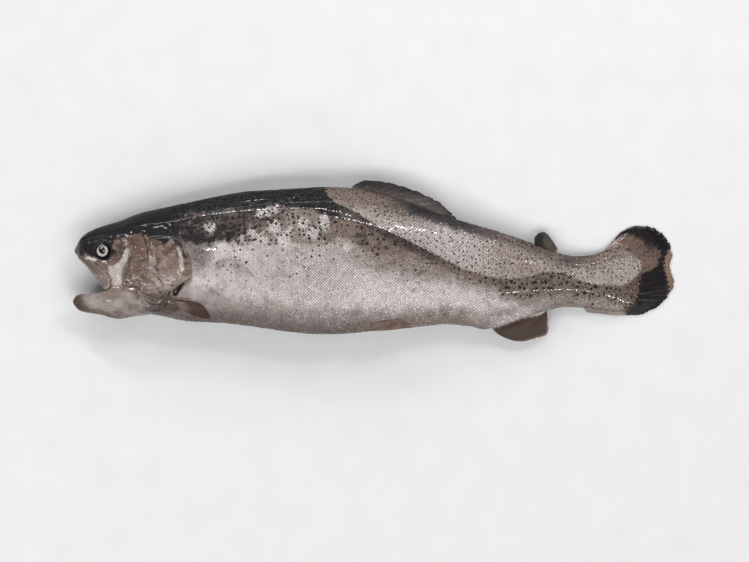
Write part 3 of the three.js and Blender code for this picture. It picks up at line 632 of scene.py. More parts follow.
def fleshSkin(look):
    whole, solids = bmesh.new(), bmesh.new()
    for name in look["nodes"] + look["filled"]:
        solids.from_mesh(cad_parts[name].data)
        part = solidOf(name)
        part.normal_update()
        for vert in part.verts:
            vert.co += vert.normal * look["fatten"] * mm
        copy = bpy.data.meshes.new(name + "Copy")
        part.to_mesh(copy)
        part.free()
        whole.from_mesh(copy)
        bpy.data.meshes.remove(copy)
    for place, half in look["corners"]:
        for shape in (whole, solids):
            for vert in bmesh.ops.create_icosphere(shape, subdivisions=3, radius=1)["verts"]:
                vert.co = spot(*place) + Vector([c * h * mm for c, h in zip(vert.co, half)])
    rough = bpy.data.meshes.new("roughFlesh")
    whole.to_mesh(rough)
    whole.free()
    obj = linked("roughFlesh", rough)
    remesh = obj.modifiers.new("remesh", "REMESH")
    remesh.mode = "VOXEL"
    remesh.voxel_size = look["voxel"] * mm
    bpy.context.view_layer.update()
    made = bpy.data.meshes.new_from_object(obj.evaluated_get(bpy.context.evaluated_depsgraph_get()))
    bpy.data.objects.remove(obj)
    bm = bmesh.new()
    bm.from_mesh(made)
    bpy.data.meshes.remove(made)

    def soften(turns, start, end):
        verts = [v for v in bm.verts if start < onFish(v.co)[0] < end]
        for _ in range(turns):
            bmesh.ops.smooth_vert(bm, verts=verts, factor=0.5, use_axis_x=True, use_axis_y=True,
                                  use_axis_z=True)

    for stretch in look["smooth"]:
        soften(*stretch)
    # the head gets finer faces, and its upper side finer ones again
    middle = (eyeLow.z + eyeHigh.z) / 2 - look["eyeAbove"] * mm
    for end, upper in zip(look["fineEnds"], (False, True)):
        faces = [f for f in bm.faces if onFish(f.calc_center_median())[0] < end
                 and (not upper or (f.calc_center_median().z > middle and f.normal.z > -0.1))]
        bmesh.ops.subdivide_edges(bm, edges=list({e for f in faces for e in f.edges}), cuts=1,
                                  use_grid_fill=True)
        soften(*look["smoothFine"])
    # smoothing draws the tips in, so a soft push takes the surface back out to the solids
    bm.normal_update()
    bm.verts.index_update()
    tree = BVHTree.FromBMesh(solids)
    solids.free()
    push = np.zeros(len(bm.verts))
    for vert in bm.verts:
        place, normal, _, _ = tree.find_nearest(vert.co)
        if normal.dot(vert.normal) > 0.2:
            push[vert.index] = np.clip((place - vert.co).dot(vert.normal) / mm, *look["push"])
    ends = np.array([[v.index for v in e.verts] for e in bm.edges])
    links = np.bincount(ends.ravel(), minlength=len(push))
    for _ in range(look["pushSoft"]):
        total = sum(np.bincount(ends[:, k], push[ends[:, 1 - k]], len(push)) for k in (0, 1))
        push = (push + total / links) / 2
    for vert in bm.verts:
        coat = look["coatDepth"] * float(ease(onFish(vert.co)[0], *look["coatStart"]))
        vert.co -= vert.normal * (coat - push[vert.index]) * mm
        vert.co.z = max(vert.co.z, look["floor"] * mm)
    return bm


def nearest(points, path):  # distance from each point to the path, and the side of it that it is on
    best = np.full(len(points), 1e9)
    side = np.zeros(len(points))
    for a, b in zip(path[:-1], path[1:]):
        run = b - a
        t = np.clip(((points - a) @ run) / (run @ run), 0, 1)
        gap = points - (a + t[:, None] * run)
        far = np.hypot(gap[:, 0], gap[:, 1])
        closer = far < best
        best[closer] = far[closer]
        side[closer] = np.sign(run[0] * gap[:, 1] - run[1] * gap[:, 0])[closer]
    return best, side


def areaDepth(points, outline):  # how far inside an outline, in mm; negative outside
    loop = smoothPath(outline + outline[:1], 4)
    inside = np.zeros(len(points), bool)
    for a, b in zip(loop[:-1], loop[1:]):
        spans = (a[1] > points[:, 1]) != (b[1] > points[:, 1])
        inside ^= spans & (points[:, 0] < a[0] + (points[:, 1] - a[1]) * (b[0] - a[0]) / (b[1] - a[1] + 1e-9))
    return nearest(points, loop)[0] * np.where(inside, 1, -1)


def strokes(points, paths):  # each one's strength on the paths, fading across their width
    return np.max([strength * bell(nearest(points, smoothPath(path, 5))[0], width)
                   for path, width, strength in paths], 0)


headShape = {
    "end": 82, "outward": (0.05, 0.4), "deepest": 6,
    # how far an area stands out, and where that starts and is full
    "areas": {"gape": (-2.4, -0.5, 0.5), "maxilla": (0.4, -0.25, 0.5), "membrane": (-0.35, -1, 1.5),
              "breast": (0.25, -1, 1.5)},
    # a crease's soft shoulders: how high, and how far to the side in half widths
    "shoulder": (0.22, 2.1), "shadeLineWidth": 1.15,
    # the gill cover's free rear edge: height and width of the lip, its start, depth and width of the groove
    "lip": (0.45, 4), "lipStart": (0, 0.4), "groove": (0.8, 1.1), "lipTop": (20, 15), "lipLow": (-34, -30),
    # nostrils: x, y, radius and depth; the height, radius and width of the rim
    "nostrils": [(6.4, 13, 0.7, 0.9), (7.8, 13.9, 0.5, 0.6)], "nostrilRim": (0.2, 1.5, 0.5),
    "lid": (0.2, 5.9, 0.7), "dish": (2.6, 5.3, 4.3),
    # fine relief, which breaks up the wet lights: stronger behind the corner of the mouth
    "relief": 0.07, "cheekRelief": (0.16, 5.5), "cheek": (38.4, -13.4), "grain": (0.22, 0.62),
    "reliefEnd": (66, 60),
}


def sculptHead(bm, look):
    spots = np.array([onFish(v.co) for v in bm.verts])
    near = spots[:, 0] < look["end"]
    flat = spots[near, :2]
    middle = np.interp(flat[:, 0], *skinLook["middle"])
    outward = np.array([v.normal.z for v in bm.verts])[near] * np.sign(spots[near, 2] - middle)
    areas = {name: areaDepth(flat, outline) for name, outline in headAreas.items()}
    push = np.zeros(len(flat))
    for path, width, depth, _ in headCreases:
        far, _ = nearest(flat, smoothPath(path, 5))
        push -= depth * bell(far, width)
        if depth > 0:
            push += look["shoulder"][0] * depth * bell(far - look["shoulder"][1] * width, width)
    far, side = nearest(flat, smoothPath(gillRear))
    lip = look["lip"][0] * bell(far, look["lip"][1]) * ease(far, *look["lipStart"])
    lip = np.where(side < 0, lip, -look["groove"][0] * bell(far, look["groove"][1]))
    push += lip * ease(flat[:, 1], *look["lipTop"]) * ease(flat[:, 1], *look["lipLow"])
    for name, (height, start, full) in look["areas"].items():
        push += height * ease(areas[name], start, full)
    rim = look["nostrilRim"]
    for px, py, radius, depth in look["nostrils"]:
        away = np.hypot(flat[:, 0] - px, flat[:, 1] - py)
        push -= depth * bell(away, radius) - rim[0] * bell(away - rim[1], rim[2])
    # the eye's socket: a low lid round a dish
    away = np.hypot(*(flat - eyePlace).T)
    push += look["lid"][0] * bell(away - look["lid"][1], look["lid"][2])
    push -= look["dish"][0] * ease(away, *look["dish"][1:])
    fineX, fineY = look["grain"]
    relief = np.array([noise.noise(Vector((px * fineX, py * fineY, 2))) for px, py in flat])
    more, reach = look["cheekRelief"]
    cheek = bell(np.hypot(*(flat - look["cheek"]).T), reach)
    push += relief * (look["relief"] + more * cheek) * ease(flat[:, 0], *look["reliefEnd"])
    push *= ease(outward, *look["outward"])
    masks = {name: np.clip(depth, -look["deepest"], look["deepest"]) for name, depth in areas.items()}
    shadeLines = [(path, width * look["shadeLineWidth"], ink) for path, width, _, ink in headCreases if ink > 0]
    masks["ink"] = strokes(flat, shadeLines + headShadeLines)
    masks["browns"] = strokes(flat, headBrowns)
    masks["lights"] = strokes(flat, headPaleLinesAndGlints)
    for name, values in masks.items():
        whole = np.full(len(spots), -look["deepest"] if name in areas else 0, float)
        whole[near] = values
        layer = bm.verts.layers.float.new(name)
        for vert, value in zip(bm.verts, whole.tolist()):
            vert[layer] = value
    for vert, height in zip([v for v, isNear in zip(bm.verts, near) if isNear], push.tolist()):
        vert.co += vert.normal * height * mm
        vert.co.z = max(vert.co.z, skinLook["floor"] * mm)
    bm.normal_update()


mouthLook = {
    # where the mouth can be: how far back, from and to what y, and how far from the middle along x
    "end": 52, "sides": (-30, 6), "half": ([0, 10, 22, 40], [4, 7, 9.5, 11]),
    "start": 0.6, "gap": 1.6, "reach": 26, "softEnd": 54,
}


def markInner(bm, look):  # 1 inside the mouth, where a short way out of the skin meets the skin again
    layer = bm.verts.layers.float.new("inner")
    tree = BVHTree.FromBMesh(bm)
    for vert in bm.verts:
        x, y, z = onFish(vert.co)
        middle = np.interp(min(x, 50), *skinLook["middle"])
        if x < look["end"] and look["sides"][0] < y < look["sides"][1] \
                and abs(z - middle) < np.interp(x, *look["half"]):
            hit = tree.ray_cast(vert.co + vert.normal * look["start"] * mm, vert.normal, look["reach"] * mm)
            vert[layer] = float(hit[0] is not None and hit[3] > look["gap"] * mm)
    for _ in range(2):
        front = [v for v in bm.verts if onFish(v.co)[0] < look["softEnd"]]
        for vert, value in averaged(front, lambda v: v[layer]).items():
            vert[layer] = (vert[layer] + value) / 2


skinBm = fleshSkin(skinLook)
sculptHead(skinBm, headShape)
markInner(skinBm, mouthLook)
bmesh.ops.triangulate(skinBm, faces=[f for f in skinBm.faces if len(f.verts) > 4])
skinTree = BVHTree.FromBMesh(skinBm)
print("skin:", sum(len(f.verts) - 2 for f in skinBm.faces), "triangles")


def skinMaterial():
    material, wire, p = newMaterial("wetSkin")
    x, y, _ = p.parts()
    body, _, wet = flankColour(p, p, p.cloud(0.9, 9, 2) * 0.6)
    tail, reach, _, _ = tailColour(p, 0)
    head, wrinkle, gloss = headColour(wire, p)
    behind = x + p.cloud(1.4, 21) * 0.35 - along(y, skinLook["headEdge"])
    colour = blend(head, blend(body, tail, reach), behind.rise(-0.3 - y.fall(-15, -9) * 4, 0.3))
    # the mouth's flesh darkens to near black further in: painted shade
    flesh = blend(headLook["mouth"], headLook["gap"], x.rise(20, 46) * 0.9)
    colour = blend(colour, flesh, wire.attribute("inner").rise(0.3, 0.8))
    bump = p.cloud(0.5, 23) * 0.3 + p.cloud(1.7, 24) * 0.6 + wrinkle.rise(0, 0.35) * 1.3 \
        + p.cloud(4.5, 25, 2) * 0.8
    nape = x.window(36, 44, 60, 66) * y.rise(14, 20)
    finishMaterial(wire, colour, 0.33 + p.cloud(1.6, 22) * 0.06, bump, 0.9, 0.00022,
                   coat=wet * gloss * (0.9 - nape * 0.6), coatRough=0.05, soft=0.03)
    return material


skin = piece("trout_skin", skinBm, skinMaterial())
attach(skin, "root")
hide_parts(*skinLook["nodes"])
print("skin done")

# the scales: a coat over each flank, in a front and a rear piece
scaleLook = {
    "step": 0.86, "row": 0.82, "length": 2.8, "width": 1.55, "lift": 0.18, "sink": 0.1, "floor": 0.02,
    "from": 56, "to": 342, "split": 188, "girth": 118, "rays": 72, "fewest": 10, "patch": 0.003,
    # one plate: how high its middle, rim and slope stand, and its thick rear edge
    "segments": 9, "middle": 0.45, "rim": 0.35, "slope": 1.3, "rearFrom": -0.3, "edge": (-0.03, 0, -1.3),
    # x, and how much larger scales are there; the midline's x, y
    "growth": ((56, 1.03), (120, 1.09), (230, 1.12), (342, 1.05)),
    "lateral": [(50, 8), (70, 8), (110, 5.6), (150, 3.4), (200, -0.5), (240, -5.4), (290, -10.4),
                (345, -11.6)],
    # how much place, lie, tilt and size vary, and how scales shrink at the tail and at the gill cover
    "wobble": 0.16, "lean": 0.1, "tilt": 0.016, "sizes": (0.92, 1.08),
    "tailShrink": (0.2, 318, 342), "gillShrink": (0.62, 0, 5),
    # the last scales lie along a curve: x, how far it bows, the bow's middle y and its width
    "tailEnd": (338.5, 4, -11, 13),
}


def oneScale(look):  # a small domed plate with a rounded, standing rear edge; 1 unit long and wide
    bm = bmesh.new()
    bmesh.ops.create_circle(bm, cap_ends=True, segments=look["segments"], radius=0.5)
    bmesh.ops.poke(bm, faces=bm.faces[:])
    bmesh.ops.rotate(bm, verts=bm.verts, cent=(0, 0, 0), matrix=Matrix.Rotation(math.pi / 2, 3, "Z"))
    for vert in bm.verts:
        vert.co.z = look["middle"] if vert.co.length < 0.1 else look["rim"] + vert.co.x * look["slope"]
    rear = [e for e in bm.edges if e.is_boundary and min(v.co.x for v in e.verts) > look["rearFrom"]]
    grown = bmesh.ops.extrude_edge_only(bm, edges=rear)["geom"]
    bmesh.ops.translate(bm, verts=[g for g in grown if isinstance(g, bmesh.types.BMVert)], vec=look["edge"])
    bmesh.ops.recalc_face_normals(bm, faces=bm.faces[:])
    bm.verts.ensure_lookup_table()
    shape, faces = np.array([v.co for v in bm.verts]), [[v.index for v in f.verts] for f in bm.faces]
    bm.free()
    return shape, faces


def rootsOnFlank(look, sign):  # where scales grow: place, lie, normal, size, place on the unrolled flank
    rng = random.Random(7 + sign)
    rows = []
    gill = smoothPath(scaleFront)[::-1]
    angles = np.linspace(-math.pi / 2, math.pi / 2, look["rays"])
    endX, bow, bowY, bowWidth = look["tailEnd"]
    least, *gillEnds = look["gillShrink"]

    def inTable(x, name):
        return float(np.interp(x, *zip(*look[name])))

    def upTo(reach):
        return rng.uniform(-reach, reach)

    columns = [look["from"]]
    while columns[-1] < look["to"]:
        columns.append(columns[-1] + look["step"] * inTable(columns[-1], "growth"))
    for column, x in enumerate(columns):
        growth, middleY = inTable(x, "growth"), inTable(x, "lateral")
        centre = spot(x, middleY)
        top = skinTree.ray_cast(spot(x, middleY, 80), Vector((0, 0, -1)))[0]
        if top is None:
            continue
        centre.z = top.z / 2
        hits = [skinTree.ray_cast(centre, Vector((0, math.sin(angle), sign * math.cos(angle))))[0]
                for angle in angles]
        hits = [hit for hit in hits if hit is not None]
        if len(hits) < look["fewest"]:
            continue
        run = np.concatenate([[0], np.cumsum([(b - a).length / mm for a, b in zip(hits[:-1], hits[1:])])])
        zero = float(np.interp(0, np.linspace(-math.pi / 2, math.pi / 2, len(run)), run))
        coords = np.array(hits)
        pitch = 2 * look["row"] * growth
        shrink = 1 - look["tailShrink"][0] * float(ease(x, *look["tailShrink"][1:]))
        for j in range(math.ceil(-zero / pitch) - 1, math.floor((run[-1] - zero) / pitch) + 1):
            s = (j + (column % 2) / 2) * pitch
            if not 0 <= s + zero <= run[-1]:
                continue
            at = Vector([float(np.interp(s + zero, run, coords[:, k])) for k in range(3)])
            place, normal, _, _ = skinTree.find_nearest(at)
            y = onFish(place)[1]
            behind = x - float(np.interp(y, gill[:, 1], gill[:, 0]))
            if behind < 0 or x > endX + bow * math.cos((y - bowY) / bowWidth):
                continue
            wobble = Vector((upTo(look["wobble"]), upTo(look["wobble"]), 0)) * mm
            lie = Vector((1, upTo(look["lean"]), 0))
            normal = (normal + Vector([upTo(look["tilt"]) for _ in range(3)])).normalized()
            lie = (lie - normal * lie.dot(normal)).normalized()
            size = growth * rng.uniform(*look["sizes"]) * shrink
            size *= least + (1 - least) * ease(behind, *gillEnds)
            rows.append((place + wobble, lie, normal, size, x / fishLength, 0.5 + s / look["girth"]))
    return rows


def scaleCoat(name, look, roots, plate, material):
    shape, faces = plate
    place, lie, up = (np.array([r[k] for r in roots]) for k in range(3))
    across = np.cross(up, lie)
    size = np.array([r[3] for r in roots])[:, None, None] * mm
    local = shape[None] * np.array([look["length"], look["width"], look["lift"]])
    points = (place[:, None] + size * (local[..., :1] * lie[:, None] + local[..., 1:2] * across[:, None])
              + (local[..., 2:] - look["sink"]) * mm * up[:, None])
    points[..., 2] = np.maximum(points[..., 2], look["floor"] * mm)
    count = len(shape)
    mesh = bpy.data.meshes.new(name)
    mesh.from_pydata(points.reshape(-1, 3), [],
                     [[i + k * count for i in face] for k in range(len(roots)) for face in faces])
    # every scale has one small patch of the unrolled flank
    spread = (shape[:, :2] / np.abs(shape[:, :2]).max()) * look["patch"] / 2
    uv = (np.array([r[4:] for r in roots])[:, None] + spread[None]).reshape(-1, 2)
    layer = mesh.uv_layers.new(name="OFBake")
    corners = np.zeros(len(mesh.loops), int)
    mesh.loops.foreach_get("vertex_index", corners)
    layer.data.foreach_set("uv", uv[corners].ravel())
    root = mesh.attributes.new("root", "FLOAT_VECTOR", "POINT")
    root.data.foreach_set("vector", np.repeat(place, count, 0).ravel())
    rim = mesh.attributes.new("rim", "FLOAT", "POINT")
    rim.data.foreach_set("value", np.tile(np.clip(np.hypot(shape[:, 0], shape[:, 1]) * 2, 0, 1), len(roots)))
    obj = linked(name, mesh, material)
    print(name, len(roots), "scales,", sum(len(f) - 2 for f in faces) * len(roots), "triangles")
    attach(obj, "root")


def scaleMaterial():
    material, wire, q = newMaterial("wetScales")
    p = inFishMm(wire.attribute("root", "Vector"))
    chance = p.node("TexWhiteNoise", {"noise_dimensions": "3D"}, {"Vector": p}, "Value")
    grain = chance * 2 - 1
    colour, net, wet = flankColour(p, q, grain)
    # each scale darker towards its rim: its own dark-edged pattern, and painted shade where its rear edge
    # stands over the next scale
    rim = (wire.attribute("rim") + q.cloud(0.8, 26) * 0.03).rise(0.46, 0.92)
    shade = (1 + grain * 0.2) * (1.34 - rim * (0.86 + net * 0.2))
    finishMaterial(wire, colour.tinted(shade), 0.27 + chance * 0.16, coat=wet * 0.9, coatRough=0.07)
    return material


plate = oneScale(scaleLook)
scaleSkin = scaleMaterial()
halfway = scaleLook["split"] / fishLength
for word, sign in (("left", 1), ("right", -1)):
    roots = rootsOnFlank(scaleLook, sign)
    scaleCoat("scales_front_" + word, scaleLook, [r for r in roots if r[4] < halfway], plate, scaleSkin)
    scaleCoat("scales_rear_" + word, scaleLook, [r for r in roots if r[4] >= halfway], plate, scaleSkin)

# the fins: rayed sheets between a root and an edge, with how thick they are at each
finLooks = {
    "fin_dorsal": {
        "root": [(165, 42), (180, 38.6), (194, 34), (207, 29.4)],
        "edge": [(176, 49.4), (188, 48.4), (200, 45.2), (212, 40.8), (222, 35), (227.6, 30), (231, 25.6)],
        "bow": (-1.2, 1),
        "rays": 13, "thick": (1.8, 0.5), "ridges": 0.16, "ridgeFrom": (0.2, 0.5), "slot": "fin",
        "ragged": 0.06,
    },
    "fin_adipose": {
        "root": [(277.6, 7.6), (283, 5.6), (289.4, 2.6)],
        "edge": [(277.4, 15.2), (280.6, 18), (285, 17.2), (291.4, 8.4)],
        "rays": 9, "thick": (1.8, 0.6), "ridges": 0.12, "ridgeFrom": (0.3, 0.6), "slot": "fin",
        "ragged": 0.02,
    },
    "fin_anal": {
        "root": [(249.6, -37.4), (264, -32.6), (284.2, -26)],
        "edge": [(266, -47.8), (272, -48), (279, -46), (285.6, -43.6), (285.7, -38), (285, -32)],
        "bow": (-1, -1.4),
        "rays": 13, "thick": (1.7, 0.5), "ridges": 0.2, "ridgeFrom": (0.4, 0.7), "slot": "fin",
        "ragged": 0.03,
    },
    "fin_caudal": {
        "root": [(315, 3), (322, -2), (326, -11), (321, -21), (306, -25.6)],
        "edge": [(321, 7.6), (325.2, 13), (330.6, 18.6), (337, 21.8), (344, 22.4), (352, 20.4),
                 (357.6, 15), (361.2, 8.4), (361.4, 2), (360.2, -3.2), (361.8, -6.6), (363, -13),
                 (360, -19.6), (354, -26), (344, -31.4), (332, -32.4), (320, -31.6), (309.4, -30.4)],
        "rays": 34, "thick": (2.6, 0.5), "ridges": 0.12, "ridgeFrom": (0.5, 0.8), "slot": "fin",
        "ragged": 0.035,
    },
    "fin_pectoral_left": {
        "root": [(62.2, -23.4), (63, -25.4), (65.4, -28.2)],
        "edge": [(74, -24), (78.6, -26.6), (81.4, -30.2), (82.4, -33.2), (80, -34), (74, -32.6)],
        "rays": 11, "thick": (1.3, 0.45), "ridges": 0.3, "ridgeFrom": (0.1, 0.4), "slot": "fin",
        "ragged": 0.03,
    },
    "fin_pelvic_left": {
        "root": [(177.6, -41.4), (178.6, -39), (180.6, -36.8)],
        "edge": [(189, -41), (198, -40), (203, -38.2), (197, -35.2), (190, -34.4)],
        "rays": 9, "thick": (0.8, 0.25), "ridges": 0.15, "ridgeFrom": (0.2, 0.5), "slot": "fin",
        "ragged": 0.05,
    },
}
finLooks["fin_pectoral_right"] = finLooks["fin_pectoral_left"]
finLooks["fin_pelvic_right"] = finLooks["fin_pelvic_left"]
webLook = {
    "columns": 6, "rows": 16, "split": (0.45, 0.4), "dip": 0.02, "thinning": 1.5, "floor": 0.04,
}


def heightOver(tree, x, y, guess):  # the middle of a thin piece, straight under a place
    above = tree.ray_cast(spot(x, y, 200), Vector((0, 0, -1)))[0]
    below = tree.ray_cast(spot(x, y, -100), Vector((0, 0, 1)))[0]
    if above is not None and below is not None:
        return (above.z + below.z) / 2
    return tree.find_nearest(spot(x, y, guess / mm))[0].z


def pointAlong(path, share):
    place = share * (len(path) - 1)
    i = min(int(place), len(path) - 2)
    return path[i] + (path[i + 1] - path[i]) * (place - i)


def rayedFin(name, look, web, material):
    solid = solidOf(name)
    tree = BVHTree.FromBMesh(solid)
    guess = sum(v.co.z for v in solid.verts) / len(solid.verts)
    solid.free()
    rng = random.Random(name)
    root, edge = smoothPath(look["root"], 16), smoothPath(look["edge"], 16)
    rays = look["rays"]
    short = [rng.uniform(0, look["ragged"]) for _ in range(rays * 2 + 2)]
    rootThick, edgeThick = look["thick"]
    bm = bmesh.new()
    bm.loops.layers.uv.new("rays")
    marker = bm.verts.layers.int.new("old")
    bmesh.ops.create_grid(bm, x_segments=rays * web["columns"], y_segments=web["rows"], size=0.5,
                          calc_uvs=True)
    thick = {}
    for vert in bm.verts:
        u, v = vert.co.x + 0.5, 0.5 - vert.co.y
        whole, split = (abs(math.cos(turns * math.pi * rays * u)) ** 3 for turns in (1, 2))
        share = max(0, min(1, (v - web["split"][0]) / web["split"][1]))
        ridge = whole * (1 - share) + split * share
        reach = v * (1 - (short[int(u * rays * 2)] + web["dip"] * (1 - ridge)) * v ** 5)
        at = pointAlong(root, u) * (1 - reach) + pointAlong(edge, u) * reach
        at = at + np.array(look.get("bow", (0, 0))) * math.sin(math.pi * reach) * (1 - u) ** 3
        vert.co = spot(*at)
        vert.co.z = heightOver(tree, *at, guess)
        inner = (1 - v) ** web["thinning"]
        full = rootThick * inner + edgeThick * (1 - inner)
        thick[vert.index + 1] = full * (1 - look["ridges"] * (1 - ridge) * float(ease(v, *look["ridgeFrom"])))
    for _ in range(2):
        for vert, height in averaged(bm.verts, lambda v: v.co.z).items():
            vert.co.z = height
    bm.normal_update()
    upward = 1 if sum(v.normal.z for v in bm.verts) >= 0 else -1
    shifts = {}
    for vert in bm.verts:
        vert[marker] = vert.index + 1
        shifts[vert.index + 1] = vert.normal * (upward * thick[vert.index + 1] / 2 * mm)
    made = bmesh.ops.extrude_face_region(bm, geom=bm.faces[:] + bm.edges[:] + bm.verts[:], use_keep_orig=True)
    fresh = {g for g in made["geom"] if isinstance(g, bmesh.types.BMVert)}
    for vert in bm.verts:
        vert.co += shifts[vert[marker]] * (1 if vert in fresh else -1)
        vert.co.z = max(vert.co.z, web["floor"] * mm)
    bmesh.ops.recalc_face_normals(bm, faces=bm.faces[:])
    obj = piece(name + "_web", bm, material)
    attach(obj, "root")
    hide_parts(name)


finPaint = {
    "fin_dorsal": {"root": (0.1, 0.079, 0.069), "web": (0.092, 0.075, 0.066),
                   "ray": (0.021, 0.0195, 0.0205), "edge": (0.024, 0.0215, 0.0215), "rootEnd": 0.16,
                   "streak": (0.155, 0.126, 0.109)},
    "fin_adipose": {"root": (0.018, 0.016, 0.018), "web": (0.06, 0.05, 0.041),
                    "ray": (0.034, 0.029, 0.026), "edge": (0.011, 0.01, 0.012), "rootEnd": 0.2,
                    "streak": (0.085, 0.074, 0.06)},
    "fin_anal": {"root": (0.36, 0.325, 0.31), "web": (0.041, 0.025, 0.0185), "ray": (0.024, 0.015, 0.0115),
                 "edge": (0.12, 0.092, 0.08), "rootEnd": 0.16, "streak": (0.068, 0.045, 0.036)},
    "fin_pectoral": {"root": (0.115, 0.083, 0.069), "web": (0.037, 0.0215, 0.016),
                     "ray": (0.052, 0.032, 0.024), "edge": (0.034, 0.02, 0.015), "rootEnd": 0.26,
                     "streak": (0.072, 0.046, 0.036)},
    "fin_pelvic": {"root": (0.13, 0.096, 0.08), "web": (0.1, 0.066, 0.054), "ray": (0.132, 0.096, 0.081),
                   "edge": (0.11, 0.08, 0.067), "rootEnd": 0.35, "streak": (0.17, 0.128, 0.108)},
}


def overRays(wire, rays):  # a web's own place: along its edge, out from its root, and a wave over its rays
    uv = wire.node("UVMap", {"uv_map": "rays"}, {}, "UV")
    u, v, _ = uv.parts()
    turns = u * (2 * math.pi * rays)
    return uv, u, 1 - v, turns.sum("COSINE", turns)


def finMaterial(kind, rays):
    look = finPaint[kind]
    material, wire, p = newMaterial(kind + "Skin")
    uv, u, v, wave = overRays(wire, rays)
    lump, fine = p.cloud(3, 31), p.cloud(0.9, 32, 2)
    streak = uv.mapped(Scale=(rays * 2.6, 1.6, 1)).cloud(1, 33)
    rootEnd = look["rootEnd"] - (u - 0.5) * 0.12
    rootSoft = 0.26 if kind in ("fin_dorsal", "fin_pectoral") else 0.1
    layers = [
        ("ray", (wave.rise(-0.2, 0.9) * 0.25 + streak * 0.55 + lump * 0.3 + 0.15).rise(0, 1) * 0.9),
        ("streak", (streak * -0.6 + fine * 0.25 + lump * 0.3 - 0.12).rise(0, 0.8) * 0.7)]
    if kind == "fin_dorsal":
        dusk = ((1 - u) * 0.9 + (v - 0.5) * 0.8 + lump * 0.15 - streak * 0.25).rise(0.25, 0.85)
        foot = u.rise(0.5, 0.85) * (v + lump * 0.06 + streak * 0.08).fall(0.35, 0.65)
        layers += [(markings["cap"], p.dots(4.6, 0.7, 0.4, 7) * 0.6),
                   (markings["rim"], dusk.most(foot) * 0.85)]
    if kind == "fin_adipose":
        layers.append((markings["cap"], (u + lump * 0.1 + streak * 0.1).fall(0.35, 0.65) * 0.9))
    if kind == "fin_anal":
        dark = (v + lump * 0.03).rise(0.74, 0.82) * (v + fine * 0.01).fall(0.88, 0.93)
        layers.append((markings["darkBrown"], dark * (0.75 - streak * 0.2)))
        rootEnd = look["rootEnd"] + u.rise(0.55, 1) * 0.3
    colour = painted(look["web"], look, layers + [
        ("edge", (v + fine * 0.02).rise(0.88, 0.98) * 0.8),
        ("root", (v + fine * 0.03 + streak * 0.05 - rootEnd).fall(-0.08, rootSoft))])
    colour = colour.tinted(1 + lump * 0.12 + fine * 0.08)
    finishMaterial(wire, colour, 0.34 + fine * 0.05, fine + streak * 0.6, 0.6, 0.00014, coat=0.14,
                   coatRough=0.08, soft=0.03)
    return material


def tailMaterial(rays):
    material, wire, p = newMaterial("tailFinSkin")
    uv, u, v, wave = overRays(wire, rays)
    x, y, _ = p.parts()
    grit = p.cloud(0.8, 9, 2)
    colour, reach, lump, fine = tailColour(p, wave)
    streak = uv.mapped(Scale=(60, 3, 1)).cloud(1, 44)
    upper = u.fall(0.3, 0.42) * (v + fine * 0.02 + streak * 0.03 + u * 0.5).rise(0.76, 0.9)
    topRim = (u + lump * 0.012).fall(0.02, 0.09) * v.rise(0.25, 0.5)
    fringe = x + lump * 0.9 + fine * 0.8 + wave * 0.5 - along(y, tailPaint["blackTo"])
    colour = painted(colour, tailPaint, [
        (markings["darkBrown"], (streak * 0.7 + lump * 0.3).rise(0, 1) * 0.55),
        ("black", topRim.most(upper) * 0.94),
        ("fringe", fringe.rise(-0.9, 0.8) * 0.95)])
    colour = blend(flankColour(p, p, grit * 0.6)[0], colour, reach)
    finishMaterial(wire, colour, 0.3 + fine * 0.05, fine * 0.6 + grit * 0.4 + wave * 0.3, 0.8, 0.00016,
                   coat=0.5 - y.fall(-26, -16) * 0.36, coatRough=0.07, soft=0.03)
    return material


finSkins = {}
for finName, finLook in finLooks.items():
    kind = "_".join(finName.split("_")[:2])
    if kind not in finSkins:
        tail = kind == "fin_caudal"
        finSkins[kind] = tailMaterial(finLook["rays"]) if tail else finMaterial(kind, finLook["rays"])
    rayedFin(finName, finLook, webLook, finSkins[kind])
print("fins done")


def moulded(look, low, high, place):  # a sphere in a box, with each of its points moved by a function
    centre, half = (low + high) / 2, (high - low) / 2
    bm = bmesh.new()
    bmesh.ops.create_uvsphere(bm, u_segments=look["segments"][0], v_segments=look["segments"][1], radius=1)
    for vert in bm.verts:
        vert.co = centre + place(vert.co, half)
        vert.co.z = max(vert.co.z, look["floor"] * mm)
    bmesh.ops.recalc_face_normals(bm, faces=bm.faces[:])
    return bm


eyeLook = {
    "iris": 3.35, "pupil": (1.9, 2.5), "pupilPlace": (17.8, 7.1), "tilt": -0.42, "level": 2.2, "floor": 0.3,
    "segments": (112, 84), "dome": (0.45, 2.6), "ring": (0.12, 0.4),
    "silver": (0.36, 0.335, 0.305), "silverDark": (0.13, 0.11, 0.092), "dark": (0.007, 0.0066, 0.0075),
    # small facets on the wet pupil that catch a lamp: beside the eye's middle, radius; and how they tip
    "facets": [(-0.5, 1.8, 0.55), (0.95, 0, 0.42)], "facetEdge": 1.5, "tip": (0.093, -0.059),
}


